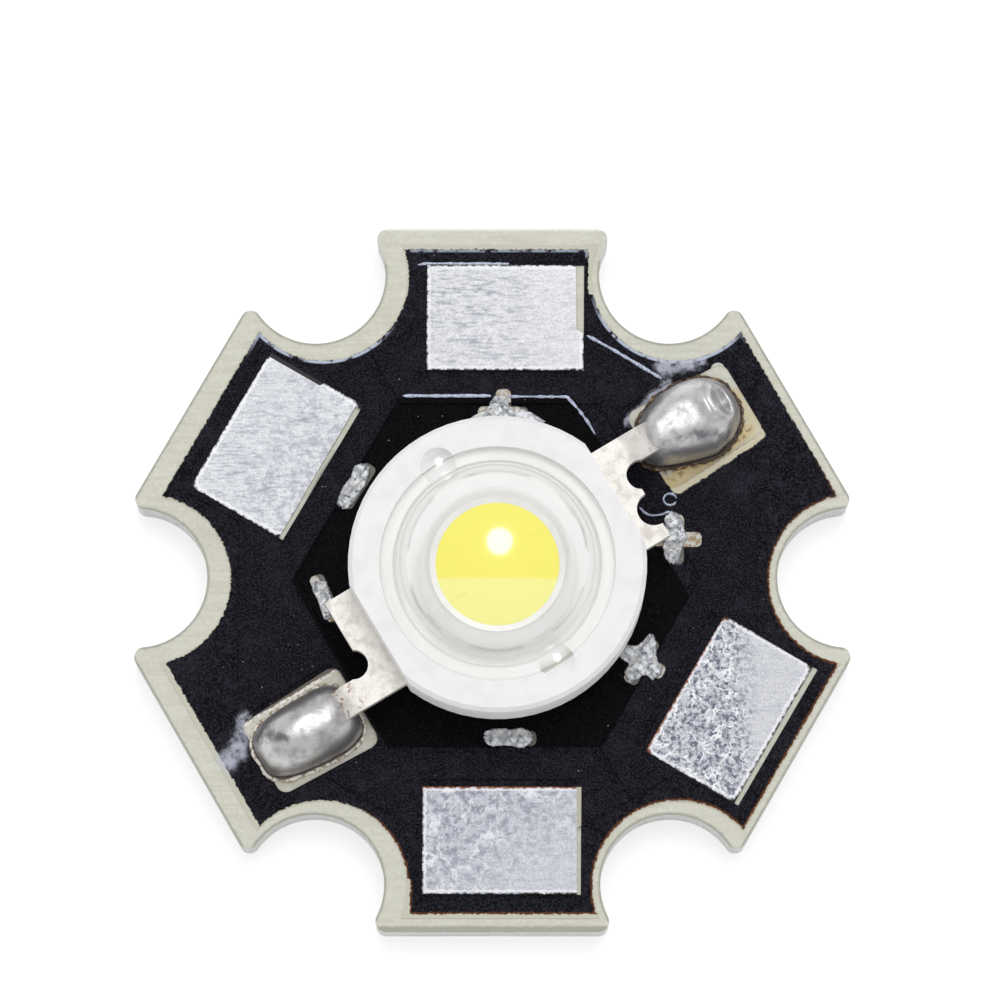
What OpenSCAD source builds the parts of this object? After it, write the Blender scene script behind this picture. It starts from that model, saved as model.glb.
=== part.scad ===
// High power LED: a domed emitter soldered to a six-armed metal-core star board.
// Millimetres, +Z up out of the board, origin at the middle of the underside.
// Arms are numbered 0 to 5 from the upper right, anticlockwise as seen from above.

/* [Star board] */
// Distance across the ends of opposite arms
board_af = 20; // [19:0.1:22]
// Extra length on the top and bottom arms, left where the panel was snapped apart
snap_l = 0.1; // [0:0.02:0.2]
// Thickness of the aluminium
base_t = 1.5; // [0.8:0.1:3]
// Thickness of the insulating layer
diel_t = 0.1; // [0.06:0.01:0.2]
// Diameter of the half-round screw notches
notch_d = 4; // [3:0.1:4.2]
// How far the notch centres lie outside the circle that the arm ends touch
notch_out = 0.12; // [0:0.02:0.3]
// Radius on the corners of the four side arms
arm_corner_r = 0.28; // [0.1:0.02:0.5]
// Radius on the corners of the snapped arms
snap_corner_r = 0.3; // [0.05:0.01:0.4]

/* [Copper] */
// Thickness of the copper
copper_t = 0.07; // [0.03:0.01:0.12]
// Gap from the bottom of a notch to the copper
copper_notch_gap = 0.79; // [0.5:0.01:1]
// Gap from the emitter body to the inner edge of the copper ring
moat_gap = 0.85; // [0.7:0.01:1]
// Gap that parts the two polarities
split_gap = 0.3; // [0.2:0.01:0.5]
// Width of the ring trace inside each wire pad
ring_w = 0.68; // [0.4:0.01:0.75]
// How far the copper picture lies off centre, towards +X
copper_shift = 0.15; // [0:0.01:0.2]
// How far the thermal pad reaches past the slug
thermal_over = 0.3; // [0.2:0.05:0.4]
// Width of the neck of copper from a joint's pad to the ring
neck_trace_w = 1.1; // [0.6:0.1:1.4]
// Gap round a joint's pad where the ring is cleared, past the mask opening
relief_gap = 0.12; // [0.08:0.01:0.2]
// Direction in which the two polarities part, degrees
split_angle = 120; // [118:1:122]

/* [Wire pads] */
// Gap from the neck of the arm to each end of the pad
pad_side = 0.81; // [0.7:0.01:1]
// Slot between the ring trace and the pad
slot_w = 0.25; // [0.15:0.01:0.4]
// Gap from the end of the arm to the pad
pad_edge = 0.96; // [0.8:0.01:1.2]
// Thickness of the tin on a wire pad
tin_t = 0.04; // [0.02:0.01:0.06]

/* [Solder mask] */
// Thickness of the solder mask
mask_t = 0.03; // [0.02:0.01:0.05]
// Bare border between the board edge and the mask
mask_border = 0.43; // [0.3:0.01:0.6]
// How far the outer edge of the mask lies off centre, towards +X
film_shift = 0.22; // [0:0.01:0.3]
// How far the outer edge of the mask lies off centre, towards -Y
film_drop = 0.05; // [0:0.01:0.1]
// How far the openings in the mask lie off centre, towards +X
mask_shift = 0.32; // [0:0.01:0.4]
// Turn of the openings about the middle of the board, degrees
mask_turn = -0.4; // [-0.6:0.1:0.6]

/* [Polarity marks] */
// Length of a bar in a mark
mark_l = 1.45; // [1:0.05:1.6]
// Width of a bar in a mark
mark_w = 0.44; // [0.3:0.02:0.5]
// Height of the tin that a mark holds
mark_h = 0.09; // [0.05:0.01:0.11]
// Radius on the corners of a bar
mark_corner_r = 0.16; // [0.05:0.01:0.2]
// Gap from the body to the middle of the plus on the top arm
plus_top_gap = 0.52; // [0.4:0.01:0.6]
// Gap from the body to the middle of the plus at the upper right
plus_upper_right_gap = 0.85; // [0.7:0.01:1]
// Gap from the body to the middle of the plus at the lower right
plus_lower_right_gap = 0.4; // [0.35:0.01:0.6]
// Gap from the body to the middle of the minus on the bottom arm
minus_bottom_gap = 0.4; // [0.3:0.01:0.6]
// Gap from the body to the middle of the minus at the lower left
minus_lower_left_gap = 0.9; // [0.7:0.01:1]
// Gap from the body to the middle of the minus at the upper left
minus_upper_left_gap = 0.74; // [0.6:0.01:0.9]
// Width of the trace from a mark to the copper ring
mark_trace_w = 0.4; // [0.2:0.05:0.5]

/* [Emitter body] */
// Diameter of the moulded body
body_d = 8.4; // [8:0.1:8.8]
// Height from the underside of the slug to the top of the body
body_top = 3.05; // [2.9:0.05:3.4]
// Gap under the body
body_lift = 0.14; // [0.12:0.01:0.3]
// How much each flat on the lead sides cuts off the round
flat_cut = 0.34; // [0.2:0.02:0.5]
// Height of the lower skirt, from the underside of the slug
skirt_top = 1.05; // [0.9:0.05:1.2]
// How far the skirt stands back under the body
skirt_in = 0.18; // [0.1:0.02:0.3]
// Chamfer round the top of the body
body_chamfer = 0.12; // [0.05:0.01:0.2]
// Turn of the emitter on the board, degrees
led_turn = 31; // [28:0.5:34]

/* [Heat slug] */
// Diameter of the slug's foot
slug_d = 5.6; // [5:0.1:6]
// Height of the slug's foot
slug_foot_h = 1; // [0.8:0.05:1.1]
// Diameter of the slug's neck
neck_d = 2.7; // [2.5:0.05:3]
// Height that the neck stands above the floor of the cavity
neck_rise = 0.85; // [0.7:0.01:0.9]
// Rim between the neck's edge and the mouth of the reflector cup
cup_rim = 0.13; // [0.08:0.01:0.14]
// Diameter of the floor of the reflector cup
cup_floor_d = 1.8; // [1.7:0.05:2]
// Depth of the reflector cup
cup_depth = 0.45; // [0.35:0.01:0.6]
// Thickness of the solder under the slug
slug_solder_t = 0.08; // [0.04:0.01:0.12]

/* [Leads] */
// How far each lead reaches out past the round of the body
lead_out = 3.1; // [2.95:0.05:3.3]
// Thickness of the lead metal
lead_t = 0.4; // [0.3:0.02:0.5]
// Height of the upper face of the leads where they leave the body
lead_top = 1.75; // [1.7:0.05:1.95]
// Width of the bar outside the body
bar_w = 0.82; // [0.7:0.02:0.9]
// Length of the bar along the flat
bar_l = 3.15; // [2.9:0.05:3.2]
// Distance from the lead's middle line to the edge that the bar and tongue share
bar_end = 1.47; // [1.4:0.01:1.6]
// Width of the tongue
tongue_w = 0.88; // [0.7:0.02:1]
// Inside radius of the two bends
bend_r = 0.3; // [0.2:0.02:0.4]
// Angle of the slope between the bends, degrees
bend_angle = 70; // [50:5:80]
// Length of the flat foot at the tip
foot_l = 0.75; // [0.5:0.05:0.9]
// Radius of the notch beside the tongue
lead_notch_r = 0.42; // [0.3:0.02:0.5]
// How far the middle of that notch lies outside the bar
notch_off = 0.2; // [0.1:0.01:0.3]
// How far that notch bites into the tongue
notch_bite = 0.06; // [0.02:0.01:0.1]
// Radius of the polarity notch in the anode lead
polarity_r = 0.48; // [0.35:0.01:0.55]
// Distance from the tongue to the middle of the polarity notch, along the bar
polarity_at = 1.38; // [1.2:0.01:1.5]
// Length of the bar inside the body
bar_root = 0.6; // [0.4:0.05:0.8]
// Width of the finger that reaches the cavity
finger_w = 1.1; // [0.8:0.05:1.3]
// Gap from the neck of the slug to the finger
finger_gap = 0.25; // [0.15:0.01:0.35]

/* [Solder joints] */
// How far the copper under a joint reaches back from the lead's tip
joint_back = 1.72; // [1.5:0.02:1.8]
// Gap from the end of the arm to that copper
joint_edge = 1.62; // [1.5:0.02:1.8]
// Gap from the neck of the arm to the side of that copper
joint_side = 1.03; // [0.9:0.01:1.1]
// Corner radius of that copper, as a share of its width
joint_round = 0.25; // [0.15:0.01:0.4]
// Height of solder over the lead where it dips
joint_cover = 0.1; // [0.06:0.01:0.2]
// Radius of the solder's crest, where it climbs the lead
crest_r = 0.62; // [0.55:0.01:0.7]
// Distance from the lead's upper bend to that crest
crest_at = 0.6; // [0.5:0.02:0.7]
// Radius of the solder's back, past the lead
back_r = 0.8; // [0.7:0.02:0.9]
// Distance from the end of the joint's copper to the middle of that back
back_in = 1.05; // [0.9:0.01:1.2]
// Height at which the drop is widest
belly_h = 0.45; // [0.3:0.01:0.5]
// Corner radius of the drop, as a share of the width of its copper
drop_round = 0.42; // [0.3:0.01:0.45]
// How far the drop's foot stands back from the edge of its copper
drop_foot_in = 0.1; // [0.05:0.01:0.15]
// How far the drop swells out over the edge of its copper
joint_swell = 0.05; // [0:0.01:0.08]
// Radius on the corners of the mask opening
open_corner_r = 0.3; // [0.1:0.05:0.5]
// Gap from that copper to the ends of the mask opening
joint_clear = 0.2; // [0.15:0.01:0.3]
// How much wider than that copper the opening is at its outer end
open_extra = 0.36; // [0.05:0.01:0.4]
// How much wider than that copper the opening is at its inner end
open_flare = 0.6; // [0.2:0.02:0.7]
// How far the opening lies off the tongue's middle line
open_offset = 0.04; // [0:0.01:0.06]
// Solder under the foot of a lead
foot_gap = 0.05; // [0.03:0.01:0.08]

/* [Lens and fill] */
// Outside radius of the dome
dome_r = 2.87; // [2.75:0.01:3]
// Wall of the dome
dome_wall = 0.42; // [0.3:0.02:0.6]
// Diameter of the lens flange
flange_d = 6.6; // [6.3:0.05:6.8]
// Thickness of the lens flange
flange_t = 0.32; // [0.25:0.01:0.4]
// Height of the dome's centre above the underside of the flange
dome_up = 0.1; // [0.05:0.01:0.2]
// Depth of the flange's seat below the top of the body
seat_depth = 0.35; // [0.3:0.01:0.45]
// Clearance round the flange
seat_clear = 0.02; // [0.01:0.01:0.05]
// Diameter of the cavity at its floor
cavity_floor_d = 4.9; // [4.6:0.05:5.1]
// Diameter of the cavity under the flange
cavity_top_d = 5.9; // [5.7:0.05:6]
// Diameter of the two fill ports
port_d = 1; // [0.8:0.02:1.1]
// Distance from the edge of the flange in to the middle of a port
port_in = 0.06; // [0:0.01:0.15]
// Depth of a port below the seat
port_depth = 0.25; // [0.15:0.01:0.35]
// How far the cured fill stands out of a port
nub_h = 0.1; // [0.05:0.01:0.15]

/* [Chip] */
// Side of the square chip
chip_w = 1; // [0.9:0.05:1.05]
// Thickness of the chip
chip_t = 0.12; // [0.08:0.01:0.16]
// Thickness of the paste under the chip
paste_t = 0.02; // [0.01:0.005:0.03]
// Crown of the phosphor above the cup's mouth
phosphor_crown = 0.12; // [0.05:0.01:0.2]
// Diameter of the bond wires
wire_d = 0.05; // [0.04:0.01:0.08]
// Radius and height of the ball at the chip
ball_r = 0.08; // [0.06:0.01:0.1]
// Distance from the chip's middle to the start of a bond wire
wire_start = 0.35; // [0.3:0.01:0.4]
// Radius of a bond wire's arch
wire_arch_r = 1.08; // [1.05:0.01:1.15]
// Height of the chip's top above the middle of that arch
wire_rise = 0.6; // [0.5:0.01:0.65]
// Distance of each bond wire from the middle line of the lead's finger
wire_offset = 0.16; // [0.1:0.01:0.2]

/* [Hidden] */
$fn = 96;

// Levels of the board's layers
diel_top = base_t + diel_t;
copper_top = diel_top + copper_t;
slug_z = copper_top + slug_solder_t;

// Board outline
notch_r = notch_d / 2;
notch_at = board_af / 2 + notch_out;
notch_c = notch_at * [cos(30), sin(30)];
notch_steps = 36;
neck_half = notch_at * sin(30) - notch_r;
bare_arms = [1, 2, 4, 5];

// Copper picture
ring_in = body_d / 2 + moat_gap;
ring_out = notch_at - notch_r - copper_notch_gap;
pad_in = ring_in + ring_w + slot_w;
pad_w = board_af / 2 - pad_edge - pad_in;
pad_l = 2 * (neck_half - pad_side);
thermal_r = slug_d / 2 + thermal_over;
thermal_open_r = slug_d / 2 + thermal_over / 3;
mask_wall = mask_t;

// Emitter, measured from the underside of its slug
slug_r = slug_d / 2;
neck_r = neck_d / 2;
cup_r = neck_r - cup_rim;
neck_top = lead_top + neck_rise;
cup_floor = neck_top - cup_depth;
chip_top = cup_floor + paste_t + chip_t;
body_r = body_d / 2;
flat_at = body_r - flat_cut;
seat_z = body_top - seat_depth;
flange_r = flange_d / 2;
port_r = flange_r - port_in;
dome_z = seat_z + dome_up;
dome_in_r = dome_r - dome_wall;
cavity_floor_r = cavity_floor_d / 2;
cavity_top_r = cavity_top_d / 2;
lead_bottom = lead_top - lead_t;
far = board_af;

// Lead: the bar lies along the flat, the tongue leaves it at one end
tongue_mid = bar_end - tongue_w / 2;
tongue_in = bar_end - tongue_w;
bar_out = flat_at + bar_w;
lead_tip = body_r + lead_out;
foot_z = copper_top + foot_gap - slug_z;
bend_mid_r = bend_r + lead_t / 2;
lead_drop = lead_bottom - foot_z;
slope_l = (lead_drop - 2 * bend_mid_r * (1 - cos(bend_angle))) / sin(bend_angle);
bend_run = 2 * bend_mid_r * sin(bend_angle) + slope_l * cos(bend_angle);
bend_start = lead_tip - foot_l - bend_run;
finger_in = neck_r + finger_gap;

// Solder joint and its pad
joint_end = board_af / 2 - joint_edge;
joint_l = joint_end - lead_tip + joint_back;
joint_w = 2 * (neck_half - tongue_mid - joint_side);
joint_mid = joint_end - joint_l / 2;
joint_corner_r = joint_round * joint_w;
drop_corner_r = drop_round * joint_w;
open_l = joint_l + 2 * joint_clear;
open_w_out = joint_w + open_extra;
open_w_in = joint_w + open_flare;
open_mid = tongue_mid - open_offset;
slab_t = 0.06;

// Bond wire: an arch whose centre lies midway between its two feet
wire_r = wire_d / 2;
wire_mid = wire_start + sqrt(pow(wire_arch_r, 2) - pow(wire_rise, 2));
wire_z = chip_top - wire_rise;
wire_a0 = asin((lead_top - wire_z) / wire_arch_r);
wire_a1 = 180 - asin(wire_rise / wire_arch_r);

// Marks: angle about the emitter, distance past the body, turn, and bars (1 or 2)
mark_plus_top = [90.5, plus_top_gap, 0, 2];
mark_plus_upper_right = [13, plus_upper_right_gap, 0, 2];
mark_plus_lower_right = [-31, plus_lower_right_gap, -30, 2];
mark_minus_bottom = [-87, minus_bottom_gap, 0, 1];
mark_minus_lower_left = [187, minus_lower_left_gap, 115, 1];
mark_minus_upper_left = [148, minus_upper_left_gap, 58, 1];
positive_marks = [mark_plus_top, mark_plus_upper_right, mark_plus_lower_right];
negative_marks = [mark_minus_bottom, mark_minus_lower_left, mark_minus_upper_left];

function arm_angle(k) = 30 + 60 * k;
function snapped(k) = k == 1 || k == 4;
function arm_end(k, inset) = board_af / 2 + (snapped(k) ? snap_l : 0) - inset;

// Angle between a direction and the nearest arm
function from_arm(a) = 30 - abs((a + 330) % 60 - 30);

// Where the end lines of arm k and the next arm cross
function end_corner(k, inset) =
    let (a = arm_angle(k), b = arm_angle(k + 1),
         da = arm_end(k, inset), db = arm_end((k + 1) % 6, inset))
    [da * sin(b) - db * sin(a), db * cos(a) - da * cos(b)] / sin(b - a);

// A corner of a convex outline, rounded by an arc of radius r
function arc_corner(p, q, s, r) =
    let (u = (p - q) / norm(p - q), w = (s - q) / norm(s - q),
         half = acos(u * w) / 2, mid = (u + w) / norm(u + w),
         c = q + mid * r / sin(half), a = atan2(-mid[1], -mid[0]))
    [for (t = [-1 : 0.25 : 1]) c + r * [cos(a + t * (90 - half)), sin(a + t * (90 - half))]];

// Points on an arc about c, from one angle to another
function arc(c, r, from, to, steps = 12) =
    [for (i = [0 : steps]) let (a = from + (to - from) * i / steps) c + r * [cos(a), sin(a)]];

function rounded(p, r) =
    [for (i = [0 : len(p) - 1])
        each arc_corner(p[(i + len(p) - 1) % len(p)], p[i], p[(i + 1) % len(p)], r)];

function box_points(l, w) = [[-l / 2, -w / 2], [l / 2, -w / 2], [l / 2, w / 2], [-l / 2, w / 2]];

// The star: a hexagon with a round notch bitten out of each corner
module star(inset) {
    difference() {
        polygon([for (k = [0 : 5]) end_corner(k, inset)]);
        for (k = [0 : 5])
            rotate(60 * k) translate([notch_at, 0]) circle(notch_r + inset);
    }
}

// In the frame of arm k: the middle of the rounded corner beside the notch at notch_c,
// and the angle through which the corner turns before it runs into the notch
function corner_r(k) = snapped(k) ? snap_corner_r : arm_corner_r;
function corner_c(k) =
    let (r = corner_r(k), x = arm_end(k, 0) - r)
    [x, notch_c[1] - sqrt(pow(notch_r + r, 2) - pow(x - notch_c[0], 2))];
function corner_turn(k) =
    let (d = notch_c - corner_c(k)) atan2(d[1], d[0]);

// Both corners of arm k and then the notch, whose own end points the corners already hold
function arm_points(k) =
    let (c = corner_c(k), r = corner_r(k), t = corner_turn(k), a = arm_angle(k),
         notch = arc(notch_c, notch_r, 180 + t, 240 - corner_turn((k + 1) % 6), notch_steps))
    [for (p = concat(arc([c[0], -c[1]], r, -t, 0), arc(c, r, 0, t),
                     [for (i = [1 : notch_steps - 1]) notch[i]]))
        [p[0] * cos(a) - p[1] * sin(a), p[0] * sin(a) + p[1] * cos(a)]];

module board_outline() {
    polygon([for (k = [0 : 5]) each arm_points(k)]);
}

module hexagon(apothem, turn) {
    rotate(turn) circle(apothem / cos(30), $fn = 6);
}

module on_arm(k) {
    rotate(arm_angle(k)) children();
}

// The copper, the openings in the mask and the mask's outer edge each lie a little off centre
module copper_picture() {
    translate([copper_shift, 0]) children();
}

module mask_picture() {
    translate([mask_shift, 0]) rotate(mask_turn) children();
}

module film() {
    translate([film_shift, -film_drop]) star(mask_border);
}

// The emitter is soldered square on the copper picture
module led_frame() {
    translate([copper_shift, 0, slug_z]) rotate(led_turn) children();
}

module wire_pad(k, grow) {
    on_arm(k) translate([pad_in - grow, -pad_l / 2 - grow])
        square([pad_w + 2 * grow, pad_l + 2 * grow]);
}

// Turns a shape from the anode's side to the cathode's
module on_side(side) {
    rotate(side > 0 ? 0 : 180) children();
}

// Opening in the mask at a solder joint, narrower at its outer end
module joint_opening(side, grow) {
    rotate(led_turn) on_side(side) translate([joint_mid, open_mid])
        polygon(rounded([[-open_l / 2 - grow, -open_w_in / 2 - grow],
                         [open_l / 2 + grow, -open_w_out / 2 - grow],
                         [open_l / 2 + grow, open_w_out / 2 + grow],
                         [-open_l / 2 - grow, open_w_in / 2 + grow]],
                        open_corner_r + grow));
}

module joint_pad(side, grow) {
    rotate(led_turn) on_side(side) {
        translate([joint_mid, tongue_mid])
            polygon(rounded(box_points(joint_l + 2 * grow, joint_w + 2 * grow),
                            joint_corner_r + grow));
        translate([joint_mid - joint_l, tongue_mid - neck_trace_w / 2 - grow])
            square([joint_l, neck_trace_w + 2 * grow]);
    }
}

module mark(m, grow) {
    rotate(m[0]) translate([body_r + m[1], 0]) rotate(m[2] - m[0])
        for (bar = [0 : m[3] - 1])
            rotate(90 * bar)
                polygon(rounded(box_points(mark_l + 2 * grow, mark_w + 2 * grow),
                                mark_corner_r + grow));
}

// Joins a mark to the ring, just past the ring's inner edge in that direction
module mark_trace(m, grow) {
    from = body_r + m[1];
    to = ring_in / cos(from_arm(m[0])) + mark_trace_w / 2;
    rotate(m[0]) translate([from, -mark_trace_w / 2 - grow])
        square([to - from, mark_trace_w + 2 * grow]);
}

// The half plane of one polarity, short of the split by half its gap
module half_plane(side, grow) {
    rotate(split_angle) on_side(side) translate([-far, -2 * far - split_gap / 2 + grow])
        square(2 * far);
}

// Copper of one polarity: its half of the ring, three arm pads and three marks
module copper_net(side, grow) {
    arms = side > 0 ? [5, 1] : [2, 4];
    marks = side > 0 ? positive_marks : negative_marks;
    copper_picture() {
        difference() {
            union() {
                intersection() {
                    difference() {
                        hexagon(ring_out + grow, 30);
                        hexagon(ring_in - grow, 0);
                    }
                    half_plane(side, grow);
                }
                for (k = arms)
                    wire_pad(k, grow);
            }
            for (k = arms)
                on_arm(k) translate([pad_in - slot_w + grow, -pad_l / 2 + grow])
                    square([slot_w - 2 * grow, pad_l - 2 * grow]);
            joint_opening(side, relief_gap - grow);
        }
        joint_pad(side, grow);
        for (m = marks) {
            mark(m, grow);
            mark_trace(m, grow);
        }
    }
}

module mask_openings() {
    mask_picture() {
        for (k = bare_arms)
            wire_pad(k, 0);
        for (side = [1, -1])
            joint_opening(side, 0);
        for (m = concat(positive_marks, negative_marks))
            mark(m, 0);
    }
    copper_picture() circle(thermal_open_r);
}

module aluminium_base() {
    color("#a9abac") linear_extrude(base_t) board_outline();
}

module dielectric() {
    color("#cdccbe") translate([0, 0, base_t]) linear_extrude(diel_t) board_outline();
}

module copper_positive() {
    color("#c98a5b") translate([0, 0, diel_top]) linear_extrude(copper_t) copper_net(1, 0);
}

module copper_negative() {
    color("#b97a4d") translate([0, 0, diel_top]) linear_extrude(copper_t) copper_net(-1, 0);
}

module thermal_pad() {
    color("#c98a5b") translate([0, 0, diel_top]) linear_extrude(copper_t)
        copper_picture() circle(thermal_r);
}

// The mask lies low on the insulator and steps up over every copper edge
module solder_mask() {
    color("#1b1a1d") difference() {
        translate([0, 0, diel_top]) union() {
            linear_extrude(mask_t) film();
            linear_extrude(copper_t + mask_t) intersection() {
                film();
                union() {
                    copper_net(1, mask_wall);
                    copper_net(-1, mask_wall);
                    copper_picture() circle(thermal_r + mask_wall);
                }
            }
        }
        linear_extrude(far) mask_openings();
        copper_positive();
        copper_negative();
        thermal_pad();
    }
}

// Tin lies wherever an opening in the mask leaves copper bare
module wire_tin(k, side) {
    color("#c9cbd1") translate([0, 0, copper_top]) linear_extrude(tin_t) intersection() {
        mask_picture() wire_pad(k, 0);
        copper_net(side, 0);
    }
}

module mark_tin(m, side) {
    color("#b9bcc4") translate([0, 0, copper_top]) linear_extrude(mark_h) intersection() {
        mask_picture() mark(m, 0);
        copper_net(side, 0);
    }
}

module tin_top() {
    wire_tin(1, 1);
}

module tin_upper_left() {
    wire_tin(2, -1);
}

module tin_bottom() {
    wire_tin(4, -1);
}

module tin_lower_right() {
    wire_tin(5, 1);
}

module plus_top() {
    mark_tin(mark_plus_top, 1);
}

module plus_upper_right() {
    mark_tin(mark_plus_upper_right, 1);
}

module plus_lower_right() {
    mark_tin(mark_plus_lower_right, 1);
}

module minus_bottom() {
    mark_tin(mark_minus_bottom, -1);
}

module minus_lower_left() {
    mark_tin(mark_minus_lower_left, -1);
}

module minus_upper_left() {
    mark_tin(mark_minus_upper_left, -1);
}

// Thin slab with the plan of the solder drop, grown or shrunk all round
module drop_slab(z, grow) {
    translate([joint_mid, tongue_mid, z]) linear_extrude(slab_t)
        polygon(rounded(box_points(joint_l + 2 * grow, joint_w + 2 * grow), drop_corner_r + grow));
}

// A drop of solder: its crest climbs the lead, its belly swells over the copper
module solder_joint(side) {
    board_z = copper_top - slug_z;
    crest_z = lead_top + joint_cover - crest_r;
    back_z = board_z + back_r;
    color("#a8a6a6") led_frame() on_side(side) difference() {
        hull() {
            translate([bend_start + crest_at, tongue_mid, crest_z]) sphere(crest_r, $fn = 32);
            translate([joint_end - back_in, tongue_mid, back_z]) sphere(back_r, $fn = 32);
            drop_slab(board_z + belly_h, joint_swell);
            drop_slab(board_z, -drop_foot_in);
        }
        lead_blank(side);
    }
}

module solder_joint_anode() {
    solder_joint(1);
}

module solder_joint_cathode() {
    solder_joint(-1);
}

module slug_solder() {
    color("#9a9894") led_frame() translate([0, 0, -slug_solder_t]) cylinder(r = slug_r, h = slug_solder_t);
}

// Copper slug: a broad foot, a neck, and the reflector cup turned into its top
module heat_slug() {
    color("#d0c6b4") led_frame() rotate_extrude()
        polygon([[0, 0], [slug_r, 0], [slug_r, slug_foot_h], [neck_r, slug_foot_h],
                 [neck_r, neck_top], [cup_r, neck_top], [cup_floor_d / 2, cup_floor],
                 [0, cup_floor]]);
}

module ports(z, h) {
    for (side = [-1, 1])
        translate([0, side * port_r, z]) cylinder(d = port_d, h = h);
}

// White moulding round the slug and leads, with the seat for the lens
module housing() {
    color("#f2f2f2") led_frame() difference() {
        intersection() {
            rotate_extrude()
                polygon([[slug_r, body_lift], [body_r - skirt_in, body_lift],
                         [body_r - skirt_in, skirt_top], [body_r, skirt_top + skirt_in],
                         [body_r, body_top - body_chamfer], [body_r - body_chamfer, body_top],
                         [flange_r + seat_clear, body_top], [flange_r + seat_clear, seat_z],
                         [cavity_top_r, seat_z], [cavity_floor_r, lead_top],
                         [neck_r, lead_top], [neck_r, slug_foot_h], [slug_r, slug_foot_h]]);
            translate([-flat_at, -far, 0]) cube([2 * flat_at, 2 * far, far]);
        }
        ports(seat_z - port_depth, far);
        lead_blank(1);
        on_side(-1) lead_blank(-1);
    }
}

// Side view of the lead strip: straight, bend, slope, bend, foot
module strip_profile() {
    inner = bend_mid_r - lead_t / 2;
    outer = bend_mid_r + lead_t / 2;
    c1 = [bend_start, lead_top - outer];
    c2 = [bend_start + bend_run, foot_z + outer];
    slope = 90 - bend_angle;
    polygon(concat([[finger_in, lead_top]], arc(c1, outer, 90, slope),
                   arc(c2, inner, 180 + slope, 270), [[lead_tip, foot_z + lead_t],
                   [lead_tip, foot_z]], arc(c2, outer, 270, 180 + slope),
                   arc(c1, inner, slope, 90), [[finger_in, lead_bottom]]));
}

// Plan view of the lead: finger, bar along the flat, tongue at the bar's end
module lead_plan(side) {
    difference() {
        union() {
            translate([finger_in, -finger_w / 2]) square([flat_at - finger_in, finger_w]);
            translate([flat_at - bar_root, bar_end - bar_l]) square([bar_w + bar_root, bar_l]);
            translate([flat_at, tongue_in]) square([lead_tip - flat_at, tongue_w]);
        }
        translate([bar_out + notch_off, tongue_in - lead_notch_r + notch_bite]) circle(lead_notch_r);
        if (side > 0)
            translate([bar_out, tongue_in - polarity_at]) circle(polarity_r);
    }
}

module lead_blank(side) {
    intersection() {
        translate([0, far / 2, 0]) rotate([90, 0, 0]) linear_extrude(far) strip_profile();
        translate([0, 0, -far / 2]) linear_extrude(far) lead_plan(side);
    }
}

module anode_lead() {
    color("#d2cbc3") led_frame() lead_blank(1);
}

module cathode_lead() {
    color("#d2cbc3") led_frame() on_side(-1) lead_blank(-1);
}

module die_attach() {
    color("#c8c8c8") led_frame() translate([-chip_w / 2, -chip_w / 2, cup_floor])
        cube([chip_w, chip_w, paste_t]);
}

module led_chip() {
    color("#4d6ea8") led_frame() translate([-chip_w / 2, -chip_w / 2, cup_floor + paste_t])
        cube([chip_w, chip_w, chip_t]);
}

// The cup's hollow and the crown above its mouth
module phosphor_form() {
    mouth = cup_r;
    crown_r = (pow(mouth, 2) + pow(phosphor_crown, 2)) / (2 * phosphor_crown);
    rotate_extrude() {
        polygon([[0, cup_floor], [cup_floor_d / 2, cup_floor], [mouth, neck_top], [0, neck_top]]);
        intersection() {
            translate([0, neck_top + phosphor_crown - crown_r]) circle(crown_r, $fn = 360);
            translate([0, neck_top]) square([mouth, phosphor_crown]);
        }
    }
}

module phosphor() {
    color("#f6e64a") difference() {
        led_frame() phosphor_form();
        die_attach();
        led_chip();
        bond_wire_anode();
        bond_wire_cathode();
    }
}

// An arch trimmed level with the chip and the lead, with a ball at the chip
module bond_wire() {
    spare = 3;
    difference() {
        translate([wire_mid, wire_offset, wire_z]) rotate([90, 0, 0]) rotate(wire_a0 - spare)
            rotate_extrude(angle = wire_a1 - wire_a0 + 2 * spare)
                translate([wire_arch_r, 0]) circle(wire_r);
        translate([wire_mid, -far / 2, lead_top - far]) cube(far);
        translate([wire_mid - far, -far / 2, chip_top - far]) cube(far);
    }
    translate([wire_start, wire_offset, chip_top]) cylinder(r = ball_r, h = ball_r);
}

module bond_wire_anode() {
    color("#e8c35a") led_frame() bond_wire();
}

module bond_wire_cathode() {
    color("#e8c35a") led_frame() on_side(-1) bond_wire();
}

// Clear fill: the cavity, the inside of the dome and the plugs in the two ports
module silicone_fill() {
    nub_r = (pow(port_d / 2, 2) + pow(nub_h, 2)) / (2 * nub_h);
    color("#eceae2", 0.5) difference() {
        led_frame() union() {
            rotate_extrude() {
                polygon([[0, lead_top], [cavity_floor_r, lead_top], [cavity_top_r, seat_z],
                         [0, seat_z]]);
                translate([0, seat_z]) square([dome_in_r, dome_up]);
                intersection() {
                    translate([0, dome_z]) circle(dome_in_r);
                    translate([0, dome_z]) square([dome_in_r, dome_in_r]);
                }
            }
            ports(seat_z - port_depth, port_depth + seat_depth);
            intersection() {
                ports(body_top - 0.01, far);
                for (side = [-1, 1])
                    translate([0, side * port_r, body_top + nub_h - nub_r]) sphere(nub_r);
            }
        }
        heat_slug();
        led_frame() phosphor_form();
        bond_wire_anode();
        bond_wire_cathode();
    }
}

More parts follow.
